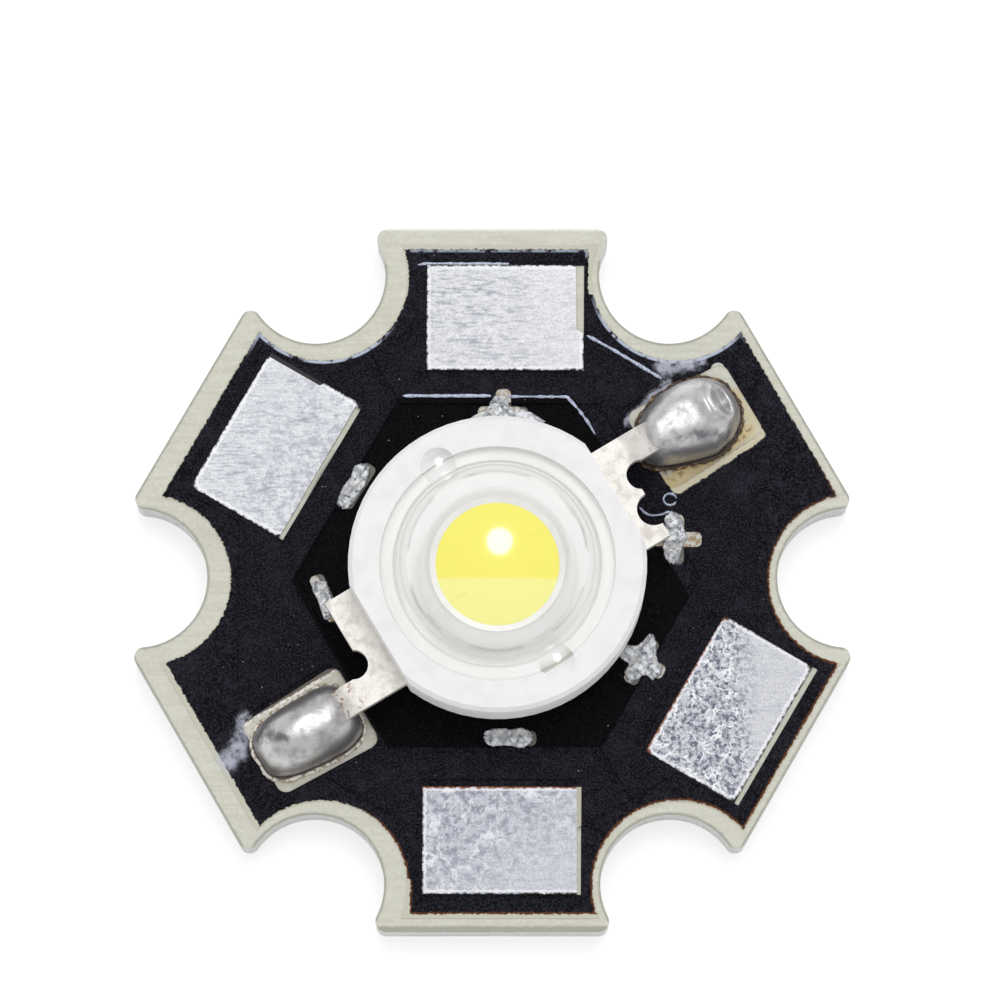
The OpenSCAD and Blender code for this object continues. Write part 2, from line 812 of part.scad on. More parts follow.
// Clear lens: a hollow dome on a flange, cut away round the two ports
module lens() {
    color("#f4f5f4", 0.4) led_frame() difference() {
        rotate_extrude() difference() {
            union() {
                translate([0, seat_z]) square([flange_r, flange_t]);
                translate([0, seat_z]) square([dome_r, dome_up]);
                intersection() {
                    translate([0, dome_z]) circle(dome_r);
                    translate([0, dome_z]) square([dome_r, dome_r]);
                }
            }
            translate([0, dome_z]) circle(dome_in_r);
            square([dome_in_r, dome_z]);
        }
        ports(0, far);
    }
}

aluminium_base();
dielectric();
copper_positive();
copper_negative();
thermal_pad();
solder_mask();
tin_top();
tin_upper_left();
tin_bottom();
tin_lower_right();
plus_top();
plus_upper_right();
plus_lower_right();
minus_bottom();
minus_lower_left();
minus_upper_left();
solder_joint_anode();
solder_joint_cathode();
slug_solder();
heat_slug();
housing();
anode_lead();
cathode_lead();
die_attach();
led_chip();
phosphor();
bond_wire_anode();
bond_wire_cathode();
silicone_fill();
lens();
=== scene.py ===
import math
from functools import reduce

import bmesh
import bpy
import numpy as np
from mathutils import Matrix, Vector


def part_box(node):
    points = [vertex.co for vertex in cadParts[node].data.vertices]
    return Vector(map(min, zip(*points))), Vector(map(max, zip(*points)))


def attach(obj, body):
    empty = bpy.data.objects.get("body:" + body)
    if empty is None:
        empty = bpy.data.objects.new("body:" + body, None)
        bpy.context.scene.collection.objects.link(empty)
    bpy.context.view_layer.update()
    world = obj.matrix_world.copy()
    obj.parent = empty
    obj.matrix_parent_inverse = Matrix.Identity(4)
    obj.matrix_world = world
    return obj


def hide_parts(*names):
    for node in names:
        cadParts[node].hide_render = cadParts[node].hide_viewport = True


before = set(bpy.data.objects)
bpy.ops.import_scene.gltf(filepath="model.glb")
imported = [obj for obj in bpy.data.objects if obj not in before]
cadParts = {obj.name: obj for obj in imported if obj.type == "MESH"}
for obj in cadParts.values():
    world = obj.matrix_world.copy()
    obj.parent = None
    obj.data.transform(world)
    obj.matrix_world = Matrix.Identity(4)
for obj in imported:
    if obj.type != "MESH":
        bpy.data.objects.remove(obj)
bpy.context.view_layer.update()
mm = 0.001
print("stage: frame loaded,", len(cadParts), "parts")

# where the emitter sits on the board, read from the slug and the copper
slugLow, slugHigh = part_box("heat_slug")
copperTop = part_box("copper_positive")[1].z / mm
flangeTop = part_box("housing")[1].z / mm
emitter = {
    "x": (slugLow.x + slugHigh.x) / 2 / mm,
    "y": (slugLow.y + slugHigh.y) / 2 / mm,
    "z": slugLow.z / mm,
    "turn": math.radians(31),
}
print("emitter at", emitter, "copper top", copperTop)


def addObject(name, data):
    made = bpy.data.objects.new(name, data)
    bpy.context.scene.collection.objects.link(made)
    return made


def makeCamera():
    lens = {
        "lookAt": (0.22, 2.23, 1.7),      # mm, the point in the middle of the picture
        "above": 81.9,                    # degrees above the horizon, from the -Y side
        "distance": 200.0,                # mm
        "pixelsPerMm": 35.05,             # at that point
        "pictureWide": 1000,              # pixels
        "sensor": 36,                     # mm
        "clip": (0.01, 10),               # m
    }
    cam = bpy.data.cameras.new("camera")
    cam.sensor_width = lens["sensor"]
    cam.lens = lens["pixelsPerMm"] * lens["sensor"] * lens["distance"] / lens["pictureWide"]
    cam.clip_start, cam.clip_end = lens["clip"]
    rig = addObject("camera", cam)
    up = math.radians(lens["above"])
    back = Vector((0, -math.cos(up), math.sin(up)))
    rig.location = Vector(lens["lookAt"]) * mm + back * lens["distance"] * mm
    rig.rotation_euler = (math.pi / 2 - up, 0, 0)
    bpy.context.scene.camera = rig


def makeLamp():
    # tilt from straight up towards +Y, side towards +X, both in degrees; the lamp faces the board
    key = {"tilt": 18.5, "side": 2.5, "distance": 0.5, "wide": 0.25, "deep": 0.28, "watts": 0.8}
    lamp = bpy.data.lights.new("keyLamp", "AREA")
    lamp.shape = "ELLIPSE"
    lamp.size, lamp.size_y = key["wide"], key["deep"]
    lamp.energy = key["watts"]
    rig = addObject("keyLamp", lamp)
    a, b = math.radians(key["tilt"]), math.radians(key["side"])
    where = Vector((math.sin(b), math.sin(a) * math.cos(b), math.cos(a) * math.cos(b)))
    rig.location = where * key["distance"]
    rig.rotation_euler = (-where).to_track_quat("-Z", "Y").to_euler()


class Wire:
    # an output socket on which Python's operators add Math nodes
    def __init__(self, paint, socket):
        self.paint, self.socket = paint, socket

    def __add__(self, b): return self.paint.maths("ADD", self, b)
    def __radd__(self, b): return self.paint.maths("ADD", b, self)
    def __sub__(self, b): return self.paint.maths("SUBTRACT", self, b)
    def __rsub__(self, b): return self.paint.maths("SUBTRACT", b, self)
    def __mul__(self, b): return self.paint.maths("MULTIPLY", self, b)
    def __rmul__(self, b): return self.paint.maths("MULTIPLY", b, self)
    def __truediv__(self, b): return self.paint.maths("DIVIDE", self, b)
    def __rtruediv__(self, b): return self.paint.maths("DIVIDE", b, self)
    def __abs__(self): return self.paint.maths("ABSOLUTE", self)


def tone(text):
    # "#rrggbb" as a picture shows it, turned into the linear colour that a shader takes
    parts = [int(text[i:i + 2], 16) / 255 for i in (1, 3, 5)]
    return tuple(c / 12.92 if c <= 0.04045 else ((c + 0.055) / 1.055) ** 2.4 for c in parts) + (1.0,)


class Paint:
    # one material; node() adds any node and returns its output as a Wire, and base is the colour so far
    def __init__(self, name):
        self.material = bpy.data.materials.new(name)
        self.material.use_nodes = True
        self.tree = self.material.node_tree
        self.tree.nodes.clear()
        self.base = None

    def node(self, kind, settings=None, sockets=None, out=0):
        made = self.tree.nodes.new("ShaderNode" + kind)
        for key, value in (settings or {}).items():
            setattr(made, key, value)
        for key, value in (sockets or {}).items():
            if isinstance(value, Wire):
                self.tree.links.new(value.socket, made.inputs[key])
            else:
                made.inputs[key].default_value = value
        return Wire(self, made.outputs[out]) if len(made.outputs) else None

    def maths(self, operation, *values):
        return self.node("Math", {"operation": operation}, dict(enumerate(values)))

    def most(self, *values):
        return reduce(lambda a, b: self.maths("MAXIMUM", a, b), values)

    def least(self, *values):
        return reduce(lambda a, b: self.maths("MINIMUM", a, b), values)

    def length(self, a, b):
        return self.maths("SQRT", a * a + b * b)

    def step(self, value, low, high):
        # 0 below low and 1 above high, with a smooth rise between; low may be the larger
        return self.node("MapRange", {"interpolation_type": "SMOOTHSTEP"},
                         {0: value, 1: low, 2: high, 3: 0.0, 4: 1.0})

    def blend(self, share, first, second):
        # first where share is 0 and second where it is 1; each is a Wire or a colour as text
        first, second = (tone(c) if isinstance(c, str) else c for c in (first, second))
        return self.node("Mix", {"data_type": "RGBA"}, {0: share, 6: first, 7: second}, out=2)

    def ground(self, share, first, second):
        self.base = self.blend(share, first, second)

    def lay(self, colour, share):
        # a colour laid over what is there
        self.base = self.blend(share, self.base, colour)

    def place(self):
        # Object coordinates in millimetres, as three Wires
        where = self.node("TexCoord", out="Object")
        parts = self.node("SeparateXYZ", None, {0: where})
        return [Wire(self, parts.socket.node.outputs[i]) * (1 / mm) for i in range(3)]

    def mapped(self, size, shift, stretch=(1, 1, 1)):
        # Object coordinates scaled so that one patch of a texture is size mm across
        where = self.node("TexCoord", out="Object")
        return self.node("Mapping", None, {"Vector": where, "Location": shift,
                                           "Scale": tuple(1 / mm / size / s for s in stretch)})

    def noise(self, size, detail=3, rough=0.55, stretch=(1, 1, 1), seed=0):
        # stretch lengthens the patches along an axis
        where = self.mapped(size, (seed, seed * 1.7, seed * 0.6), stretch)
        return self.node("TexNoise", None, {"Vector": where, "Scale": 1.0, "Detail": detail,
                                            "Roughness": rough})

    def wobble(self, size, detail, seed, swing):
        # the same noise, moved and scaled so that it swings about 0
        return (self.noise(size, detail, seed=seed) - 0.5) * swing

    def bump(self, height, depth, strength):
        # height runs from 0 to 1 over the surface and stands for depth mm
        return self.node("Bump", None, {"Height": height, "Strength": strength, "Distance": depth * mm})

    def surface(self, **sockets):
        # a shader with the colour laid so far
        names = {"rough": "Roughness", "metal": "Metallic", "normal": "Normal", "alpha": "Alpha",
                 "shine": "Specular IOR Level"}
        values = {names[k]: v for k, v in sockets.items()}
        return self.finish(self.node("BsdfPrincipled", None, {"Base Color": self.base, **values}))

    def finish(self, shader):
        self.node("OutputMaterial", None, {0: shader})
        return self.material


def along(x, y, degrees):
    # how far a point lies out in a direction
    a = math.radians(degrees)
    return x * math.cos(a) + y * math.sin(a)


def starDepth(paint, x, y):
    # how far a point lies inside the star outline; the smaller of the depths behind the arm ends
    # and behind the notches, where the plane is folded onto one notch
    star = {"reach": 10.0, "ends": (30, 90, 150), "notchAt": 10.12, "notchR": 2.0, "sector": math.radians(60)}
    ends = star["reach"] - paint.most(*(abs(along(x, y, turn)) for turn in star["ends"]))
    turn = paint.maths("ARCTAN2", y, x)
    folded = turn - paint.maths("ROUND", turn / star["sector"]) * star["sector"]
    reach = paint.length(x, y)
    dx = reach * paint.maths("COSINE", folded) - star["notchAt"]
    dy = reach * paint.maths("SINE", folded)
    return paint.least(ends, paint.length(dx, dy) - star["notchR"])


def segment(paint, x, y, a, b):
    # distance in mm from a point to the line from a to b
    ax, ay, bx, by = *a, *b
    square = (bx - ax) ** 2 + (by - ay) ** 2
    share = ((x - ax) * (bx - ax) + (y - ay) * (by - ay)) / square
    share = paint.least(paint.most(share, 0.0), 1.0)
    return paint.length(x - ax - share * (bx - ax), y - ay - share * (by - ay))


def toEmitter(x, y):
    # board coordinates turned into the emitter's own u and v
    c, s = math.cos(emitter["turn"]), math.sin(emitter["turn"])
    dx, dy = x - emitter["x"], y - emitter["y"]
    return dx * c + dy * s, dy * c - dx * s


def paintMask():
    look = {"film": "#08070b", "moat": "#050405", "grain": "#3a3944", "speck": "#a7a8ae",
            "beige": "#c9c8b8", "fringe": "#6d4327", "glint": "#c3cce2", "flux": "#c3c7d6",
            "resin": "#d2d1c4", "stain": "#d2bb7c", "shift": 0.22, "drop": 0.05, "inset": 0.43}
    # the moat round the emitter shows darker; each side of it, by its angle, has its own distance out
    moatSides = {90: 5.2, 30: 4.6, -30: 5.12, -90: 4.85, 150: 4.9, 210: 5.0}
    # painted highlight along the film's edge at the two upper notches and the top arm's end: a line,
    # its outer and inner reach and its share
    glintEdges = (((-4.9, 8.0), (-4.9, 6.2), 2.2, 1.6, 1.0), ((5.0, 8.0), (5.0, 6.2), 2.3, 1.7, 1.0),
                ((-2.1, 9.5), (2.6, 9.5), 0.3, 0.2, 0.6))
    # flux wiped off the joints, over the anode's corner and out to the edge by the cathode: a line
    # and its width
    smears = (((4.85, 6.05), (5.9, 6.3), 0.34), ((3.9, 4.5), (5.0, 5.6), 0.2),
              ((-7.0, -4.1), (-7.25, -4.95), 0.34), ((-7.25, -4.95), (-7.75, -5.5), 0.42))
    p = Paint("solderMask")
    x, y = p.place()[:2]
    beyond = p.most(*(along(x, y, turn) - reach for turn, reach in moatSides.items()))
    over = p.step(beyond, -0.02, 0.05)
    fine = p.noise(0.055, 3, 0.7)
    cloud = p.noise(0.4, 5, 0.7, seed=17)
    broad = p.noise(1.3, seed=3.1)
    specks = p.step(p.noise(0.12, 1, seed=9.2), 0.79, 0.82)
    p.ground(over, look["moat"], look["film"])
    p.lay(look["grain"], p.step(fine, 0.42, 0.68) * (over * 0.55 + 0.15))
    p.lay(look["grain"], p.step(cloud, 0.48, 0.7) * over * 0.25)
    p.lay(look["grain"], p.step(broad, 0.5, 0.8) * over * 0.2)
    p.lay(look["speck"], specks * 0.6)
    # the film's outer edge lies a little off the board's middle, and straight beside three arm ends
    depth = starDepth(p, x - look["shift"], y + look["drop"]) - look["inset"]
    depth = p.least(depth, 9.28 + along(x, y, 30), 2.77 - x + p.most(8.2 - y, 0.0) * 10,
                    2.35 + x + p.most(8.6 + y, 0.0) * 10)
    ragged = depth + p.wobble(0.1, 2, 5, 0.13)
    glintNear = p.most(*(p.step(segment(p, x, y, a, b), outer, inner) * share
                   for a, b, outer, inner, share in glintEdges))
    # painted highlight: a bright bluish line just inside the film's edge near those lines
    glint = p.step(abs(depth - 0.06), 0.06, 0.02) * glintNear * p.step(p.noise(0.35, 2, seed=6), 0.35, 0.5)
    p.lay(look["glint"], glint * 0.85)
    lowerRight = p.step(x * 0.6 - y * 0.8, 2.5, 4.5)
    p.lay(look["fringe"], p.step(ragged, 0.1, 0.05) * lowerRight * 0.8)
    p.lay(look["beige"], p.step(ragged, 0.035, 0.0))
    # the film has come away along two sides of the opening at the anode
    u, v = toEmitter(x, y)
    below = segment(p, u, v, (5.75, -0.42), (8.5, -0.3)) + p.wobble(0.2, 3, 21, 0.16)
    beside = segment(p, u, v, (8.5, 0.1), (8.5, 1.9))
    bare = p.most(p.step(below, 0.22, 0.17), p.step(beside, 0.22, 0.18))
    p.lay(p.blend(p.step(v, 0.3, 0.0) * 0.3, look["resin"], look["stain"]), bare)
    smear = p.most(*(p.step(segment(p, x, y, a, b) + p.wobble(0.22, 3, 12, 0.35), width, width * 0.3)
                     for a, b, width in smears))
    streaky = p.step(p.noise(0.28, 4, 0.6, seed=14), 0.3, 0.62)
    p.lay(look["flux"], smear * streaky * 0.8)
    height = p.step(depth, 0.0, 0.1) * 0.5 + p.noise(0.05, 2, seed=1) * 0.12 + smear * 0.3
    rough = 0.66 - over * 0.06 + fine * 0.15 - smear * 0.2
    return p.surface(rough=rough, shine=0.05, normal=p.bump(height, 0.05, 0.5))


def paintDielectric():
    look = {"base": "#d2d1c4", "dark": "#bdbcae", "pale": "#e3e2d8", "rim": "#98978c", "endHighlight": "#eeeee8",
            "slot": "#120f0e", "flux": "#d2bb7c", "brown": "#7a5a34",
            "line": "#4c3a2c", "bead": "#f4efe8", "blue": "#c3cbd8"}
    p = Paint("dielectric")
    x, y = p.place()[:2]
    streaks = p.noise(0.12, stretch=(9, 1, 1), seed=2)
    broad = p.noise(1.1, seed=7)
    grain = p.noise(0.1, 3, 0.65, seed=9)
    p.ground(p.step(streaks, 0.35, 0.7) * 0.45, look["base"], look["dark"])
    p.lay(look["dark"], p.step(broad, 0.5, 0.8) * 0.3)
    p.lay(look["pale"], p.step(grain, 0.52, 0.72) * 0.5)
    p.lay(look["dark"], p.step(grain, 0.46, 0.3) * 0.4)
    # a grey rim all round, but a painted highlight, pale, on the top arm's end, whose edge faces the lamp
    depth = starDepth(p, x, y) + p.wobble(0.15, 2, 4, 0.07)
    p.lay(look["rim"], p.step(depth, 0.1, 0.02) * 0.8 * p.step(y, 9.4, 9.0))
    p.lay(look["endHighlight"], p.step(depth, -0.03, -0.06) * 0.8 * p.step(y, 9.2, 9.5))
    # the slots round the marks and along the upper left pad show black
    u, v = toEmitter(x, y)
    slots = p.step(p.length(u, v), 5.95, 5.8) * p.step(abs(u), 5.3, 5.2) * 0.75
    slots = p.most(slots, p.step(segment(p, x, y, (-6.35, 6.48), (-4.1, 5.18)), 0.2, 0.16))
    p.lay(look["slot"], slots)
    # yellow flux along two sides of the anode's joint, brown where it meets the solder
    wobble = p.wobble(0.3, 3, 11, 0.45)
    below = p.step(segment(p, u, v, (5.7, -0.22), (8.3, -0.02)) + wobble, 0.42, 0.1)
    beside = p.step(segment(p, u, v, (8.55, 0.0), (8.55, 1.1)) + wobble, 0.3, 0.06)
    p.lay(look["flux"], p.most(below * 0.75, beside * 0.45))
    patches = p.step(p.noise(0.14, seed=13), 0.52, 0.62)
    near = p.step(segment(p, u, v, (5.9, 0.1), (8.2, 0.1)), 0.45, 0.2)
    p.lay(look["brown"], near * patches * 0.7)
    # three thin lines of flux beside the cathode's joint, each at its distance and half as wide as said
    across = v + p.wobble(0.5, 2, 15, 0.12)
    reach = p.step(u, -5.2, -5.4) * p.step(u, -8.6, -8.3)
    beads = p.step(p.noise(0.12, 2, seed=16), 0.42, 0.52)
    for at, half, share, colour in ((0.19, 0.09, 0.85, "line"), (0.09, 0.06, beads, "bead"),
                                    (0.33, 0.06, 0.8, "blue")):
        p.lay(look[colour], p.step(abs(across - at), half, half * 0.5) * reach * share)
    return p.surface(rough=0.45 + streaks * 0.15, shine=0.4, normal=p.bump(streaks, 0.012, 0.4))


def paintAluminium():
    look = {"dark": "#b4b5b3", "light": "#d6d7d4", "line": "#8f8f8b", "mark": "#98999a"}
    p = Paint("aluminium")
    grain = p.noise(0.05, stretch=(40, 1, 1), seed=1)
    marks = p.noise(0.9, stretch=(2, 1, 1), seed=6)
    lines = p.noise(0.06, 2, stretch=(1, 1, 12), seed=8)
    p.ground(p.step(grain, 0.3, 0.75), look["dark"], look["light"])
    p.lay(look["line"], p.step(lines, 0.45, 0.75) * 0.4)
    p.lay(look["mark"], p.step(marks, 0.55, 0.75) * 0.25)
    return p.surface(metal=1.0, rough=0.36 + marks * 0.12, normal=p.bump(grain, 0.006, 0.5))


def paintCopper():
    # bare copper, except where the joints' flux and a skin of tin have greyed it
    look = {"copper": "#c68a63", "dark": "#a8684a", "tinned": "#b3b1ab", "flux": "#8f7c5c"}
    p = Paint("copper")
    u, v = toEmitter(*p.place()[:2])
    patch = p.noise(0.7, seed=2)
    fine = p.noise(0.08, 2)
    stain = p.step(p.noise(0.16, seed=4), 0.45, 0.62)
    bare = p.blend(p.step(patch, 0.35, 0.7), look["copper"], look["dark"])
    skin = p.blend(stain, look["tinned"], look["flux"])
    joint = p.step(p.length(u, v), 3.6, 3.8)
    p.ground(joint, bare, skin)
    return p.surface(metal=1.0 - joint * 0.5, rough=0.42 + fine * 0.2, normal=p.bump(fine, 0.012, 0.5))


def padFrame(name, turn):
    # inner and outer end and the two sides of a bare pad, seen along the arm that it lies on
    tracePast = 3.06               # mm from the outer end; the trace to the ring reaches further in
    x, y = np.array([tuple(v.co) for v in cadParts[name].data.vertices]).T[:2] / mm
    out, side = along(x, y, turn), along(x, y, turn + 90)
    inner = out.max() - tracePast
    keep = out > inner - 0.01
    return {"inner": max(inner, out.min()), "outer": out.max(), "low": side[keep].min(),
            "high": side[keep].max()}


def paintTin(name, look):
    # a levelled pad: blotched and creased where worn is high, finely dashed elsewhere; its corners
    # are round, a bright bead runs inside its ragged edge and a burnt line along its inner end
    tones = {"dash": "#999ca6", "blotch": "#6c7284", "pit": "#4f566c", "grain": "#e8eaf0",
             "crease": "#f4f5f8", "bead": "#f7f7fa", "edge": "#241b19", "burnt": "#9a5a2c",
             "sliver": "#b4b2a3"}
    p = Paint(name)
    x, y = p.place()[:2]
    pad = padFrame(name, look["turn"])
    out, side = along(x, y, look["turn"]), along(x, y, look["turn"] + 90)
    toSide = p.least(side - pad["low"], pad["high"] - side)
    toEnd = p.least(out - pad["inner"], pad["outer"] - out)
    inside = p.least(toSide, toEnd)
    if look["corner"] > 0:
        a, b = (p.most(look["corner"] - d, 0.0) for d in (toSide, toEnd))
        inside = p.least(inside, look["corner"] - p.length(a, b))
    seed = look["seed"]
    fine = p.noise(0.045, seed=seed)
    blotch = p.noise(look["blotch"], 4, 0.65, seed=seed + 2)
    dashes = p.noise(0.06, 3, 0.6, stretch=(5, 1, 1), seed=seed + 4)
    rows = p.noise(0.3, 2, stretch=(9, 1, 1), seed=seed + 9)
    wrinkle = abs(p.noise(look["wrinkle"], seed=seed + 5) - 0.5)
    outShare, xShare, wornFrom, wornTo = look["wear"]
    worn = out * outShare + x * xShare + p.wobble(0.8, 2, seed + 6, look["wander"])
    worn = p.step(worn, wornFrom, wornTo)
    crease = p.step(wrinkle, 0.03, 0.008) * p.step(p.noise(0.4, 2, seed=seed + 8), 0.38, 0.52) * worn
    p.ground(p.step(fine, 0.3, 0.7), look["shade"], look["light"])
    dashed = p.step(dashes, 0.42, 0.7) * (p.step(rows, 0.35, 0.6) * 0.6 + 0.4)
    dashed = dashed * (1.0 - p.step(x, -0.5, 1.8) * look["fade"])
    p.lay(tones["dash"], dashed * look["dashes"])
    p.lay(tones["blotch"], p.step(blotch, 0.44, 0.62) * worn * look["worn"])
    grit = p.noise(0.085, 3, 0.65, seed=seed + 10)
    p.lay(tones["pit"], p.step(grit, 0.53, 0.66) * worn * look["grit"])
    p.lay(tones["grain"], p.step(grit, 0.42, 0.3) * worn * look["grit"])
    p.lay(tones["crease"], crease * look["crease"])
    ragged = inside + p.wobble(0.12, 2, seed + 7, 0.16)
    p.lay(tones["bead"], p.step(abs(ragged - 0.09), 0.05, 0.01) * look["bead"])
    p.lay(tones["edge"], p.step(ragged, 0.05, 0.0))
    burnt = p.step(abs(ragged - 0.02), 0.05, 0.0) * p.step(out - pad["inner"], 0.2, 0.1) * look["burnt"]
    p.lay(tones["burnt"], burnt)
    p.lay(tones["sliver"], p.step(side, pad["high"] - 0.15, pad["high"] - 0.12) * look["sliver"])
    height = blotch * worn * 0.4 + fine * 0.3 + crease * 0.3
    return p.surface(metal=0.55, rough=0.55 + fine * 0.15, normal=p.bump(height, 0.01, 0.5))


def paintSolder(name, look):
    # frosted metal in soft patches with a darker streak, a painted dark reflection; flux and painted contact
    # shadow darken a line round its foot
    frost = "#efedec"
    p = Paint(name)
    x, y, z = p.place()
    u, v = toEmitter(x, y)
    patch = p.noise(0.45, 4, 0.6, seed=look["seed"])
    fine = p.noise(0.06, seed=8)
    p.ground(p.step(patch, 0.4, 0.7), look["metal"], look["dull"])
    p.lay(frost, p.step(fine, 0.55, 0.75) * 0.3)
    start, end, reach = look["darkReflection"]
    # painted reflection: a dark streak where the metal would mirror dark surroundings
    darkReflection = p.step(segment(p, abs(u), abs(v), start, end) + p.wobble(0.2, 3, 9, 0.4), reach, 0.0)
    p.lay(look["shade"], darkReflection * p.step(patch, 0.35, 0.6) * 0.7)
    # painted shade with dark flux: a line round the foot, where the joint meets the board
    up = z - copperTop + p.wobble(0.25, 3, 1.5, 0.25)
    low = p.step(up, 0.4, 0.25)
    p.lay(look["line"], low * 0.85)
    rough = look["rough"] + p.step(patch, 0.45, 0.75) * 0.12 + fine * 0.1
    height = patch * 0.7 + fine * 0.3 - low * 0.3
    return p.surface(metal=0.9 - low * 0.5, rough=rough, normal=p.bump(height, 0.04, 0.5))


def paintCollar(name, look):
    # flux dried round a joint: dark against the metal, where dark flux and painted contact shadow meet it,
    # beaded and paler outwards
    p = Paint(name)
    outward = p.node("Attribute", {"attribute_name": "outward"}, out=2)
    beads = p.step(p.noise(0.13, 2, seed=6.5), look["beadsFrom"], look["beadsFrom"] + 0.1)
    p.ground(beads, look["between"], look["bead"])
    # painted contact shadow with dark flux: the line where the collar meets the metal
    line = p.step(outward + p.wobble(0.2, 3, 1.5, 0.08), look["darkTo"] + 0.03, look["darkTo"] - 0.02)
    p.lay(look["line"], line * look["dark"])
    return p.surface(rough=0.3 + beads * 0.2, shine=0.6, normal=p.bump(beads, 0.03, 0.5))


def paintMark():
    # tin that a printed mark holds: small bright beads with dark hollows between
    look = {"bright": "#e0e2e6", "mid": "#a3a6ac", "dark": "#4f5361", "pale": "#c9c9c4"}
    p = Paint("markTin")
    fine = p.noise(0.1, seed=2)
    bead = p.node("TexVoronoi", None, {"Vector": p.mapped(0.17, (1, 1, 1)), "Scale": 1.0})
    p.ground(p.step(bead, 0.3, 0.75), look["bright"], look["mid"])
    p.lay(look["dark"], p.step(fine, 0.52, 0.66) * 0.8)
    p.lay(look["pale"], p.step(p.noise(0.35, 2, seed=7), 0.5, 0.62) * 0.6)
    return p.surface(metal=0.45, rough=0.42 + fine * 0.2,
                     normal=p.bump(fine * 0.5 + bead * 0.5, 0.05, 0.5))


def paintLead():
    # silver plating gone matt, darker in its grain and browned where the joint begins
    look = {"silver": "#e8e5e0", "worn": "#cbc5bd", "line": "#a59e95", "flux": "#8a5a33",
            "inside": "#ecebe8", "frost": "#bab6b2"}
    p = Paint("lead")
    u = toEmitter(*p.place()[:2])[0]
    grain = p.noise(0.05, seed=2)
    patch = p.noise(0.35, seed=5)
    p.ground(p.step(patch, 0.42, 0.7) * 0.8, look["silver"], look["worn"])
    p.lay(look["line"], p.step(grain, 0.5, 0.72) * 0.35)
    tip = p.step(abs(u) + p.wobble(0.2, 3, 4, 0.5), 5.0, 5.4)
    p.lay(look["flux"], tip * p.step(p.noise(0.16, 2, seed=6), 0.57, 0.66) * 0.65)
    frost = p.step(u + p.wobble(0.3, 3, 7, 0.4), 4.75, 5.0)
    p.lay(look["frost"], frost * 0.7)
    # painted reflection: inside the body the lead is plain near-white, as its silver shows the white cavity
    p.lay(look["inside"], p.step(abs(u), 3.4, 3.1))
    return p.surface(metal=0.6, rough=0.5 + patch * 0.12,
                     normal=p.bump(patch * 0.6 + grain * 0.4, 0.02, 0.5))


def paintHousing():
    # white moulding; fine turned rings of the mould show in the recess under the lens
    look = {"white": "#f0f0f0", "shade": "#e9e9ea", "ring": "#e4e4df", "speck": "#cfcfd2", "paintedLightWall": "#ffffff"}
    p = Paint("body")
    x, y, z = p.place()
    u, v = toEmitter(x, y)
    reach = p.length(u, v)
    mottle = p.noise(0.6, seed=2)
    fine = p.noise(0.05, 2, seed=4)
    p.ground(p.step(mottle, 0.35, 0.75), look["white"], look["shade"])
    p.lay(look["speck"], p.step(fine, 0.66, 0.74) * 0.25)
    turned = p.node("CombineXYZ", None, {0: reach * 7.0, 1: u * 0.25, 2: v * 0.25})
    rings = p.node("TexNoise", None, {"Vector": turned, "Scale": 1.0, "Detail": 3.0, "Roughness": 0.6})
    recess = p.step(reach, 3.34, 3.28)
    p.lay(look["ring"], recess * (p.step(rings, 0.4, 0.65) * 0.8 + 0.2))
    # painted light: the side walls below the flange are pure white, to lift the shade they stand in
    p.lay(look["paintedLightWall"], p.step(z, flangeTop - 0.1, flangeTop - 0.2) * p.step(reach, 3.5, 3.6))
    height = fine * 0.3 + rings * recess
    return p.surface(rough=0.42 + mottle * 0.1, shine=0.45, normal=p.bump(height, 0.012, 0.4))


def paintSlug():
    # silvered and whitened; painted light: the level rim, facing the light, is darker than the neck, which is
    # white against its shade
    look = {"neck": "#ffffff", "neckShade": "#f8f7f4", "rim": "#e9e8e4", "rimShade": "#e2e0db"}
    p = Paint("slug")
    z = p.place()[2]
    turned = p.noise(0.05, 2, stretch=(1, 1, 8), seed=2)
    patch = p.step(p.noise(0.5), 0.35, 0.75)
    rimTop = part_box("heat_slug")[1].z / mm
    neck = p.blend(patch, look["neck"], look["neckShade"])
    rim = p.blend(patch, look["rim"], look["rimShade"])
    p.ground(p.step(z, rimTop - 0.05, rimTop - 0.02), neck, rim)
    return p.surface(metal=0.1, rough=0.35 + turned * 0.15, normal=p.bump(turned, 0.006, 0.4))


def paintPhosphor():
    # the upper part is the deeper yellow; below a level edge it is paler, a painted reflection of a broad
    # light
    look = {"deep": "#fff53a", "pale": "#fffb86", "grain": "#f6e640", "edge": -0.27}
    p = Paint("phosphor")
    level = p.place()[1] - emitter["y"] + p.wobble(0.2, 2, 0, 0.04)
    lower = p.step(level, look["edge"] + 0.07, look["edge"] - 0.05)
    grain = p.noise(0.04, seed=2)
    p.ground(lower, look["deep"], look["pale"])
    p.lay(look["grain"], p.step(grain, 0.55, 0.75) * 0.25)
    return p.surface(rough=0.5 + grain * 0.1, normal=p.bump(grain, 0.01, 0.3))


def paintSmall(name, light, dark, metal, size=0.1):
    p = Paint(name)
    patch = p.noise(size, seed=1)
    p.ground(p.step(patch, 0.35, 0.7), light, dark)
    return p.surface(metal=metal, rough=0.35 + patch * 0.2, normal=p.bump(patch, 0.005, 0.4))


# painted highlight: pale bluish ridges for the glints on the film's steps, and also a flux strand and bubble
def paintGlint():
    look = {"light": "#c5cfe6", "dark": "#8e97ab"}
    p = Paint("filmGlint")
    fine = p.noise(0.06, seed=1)
    p.ground(p.step(fine, 0.35, 0.65), look["light"], look["dark"])
    return p.surface(rough=0.25 + fine * 0.2, shine=0.7, normal=p.bump(fine, 0.02, 0.4))


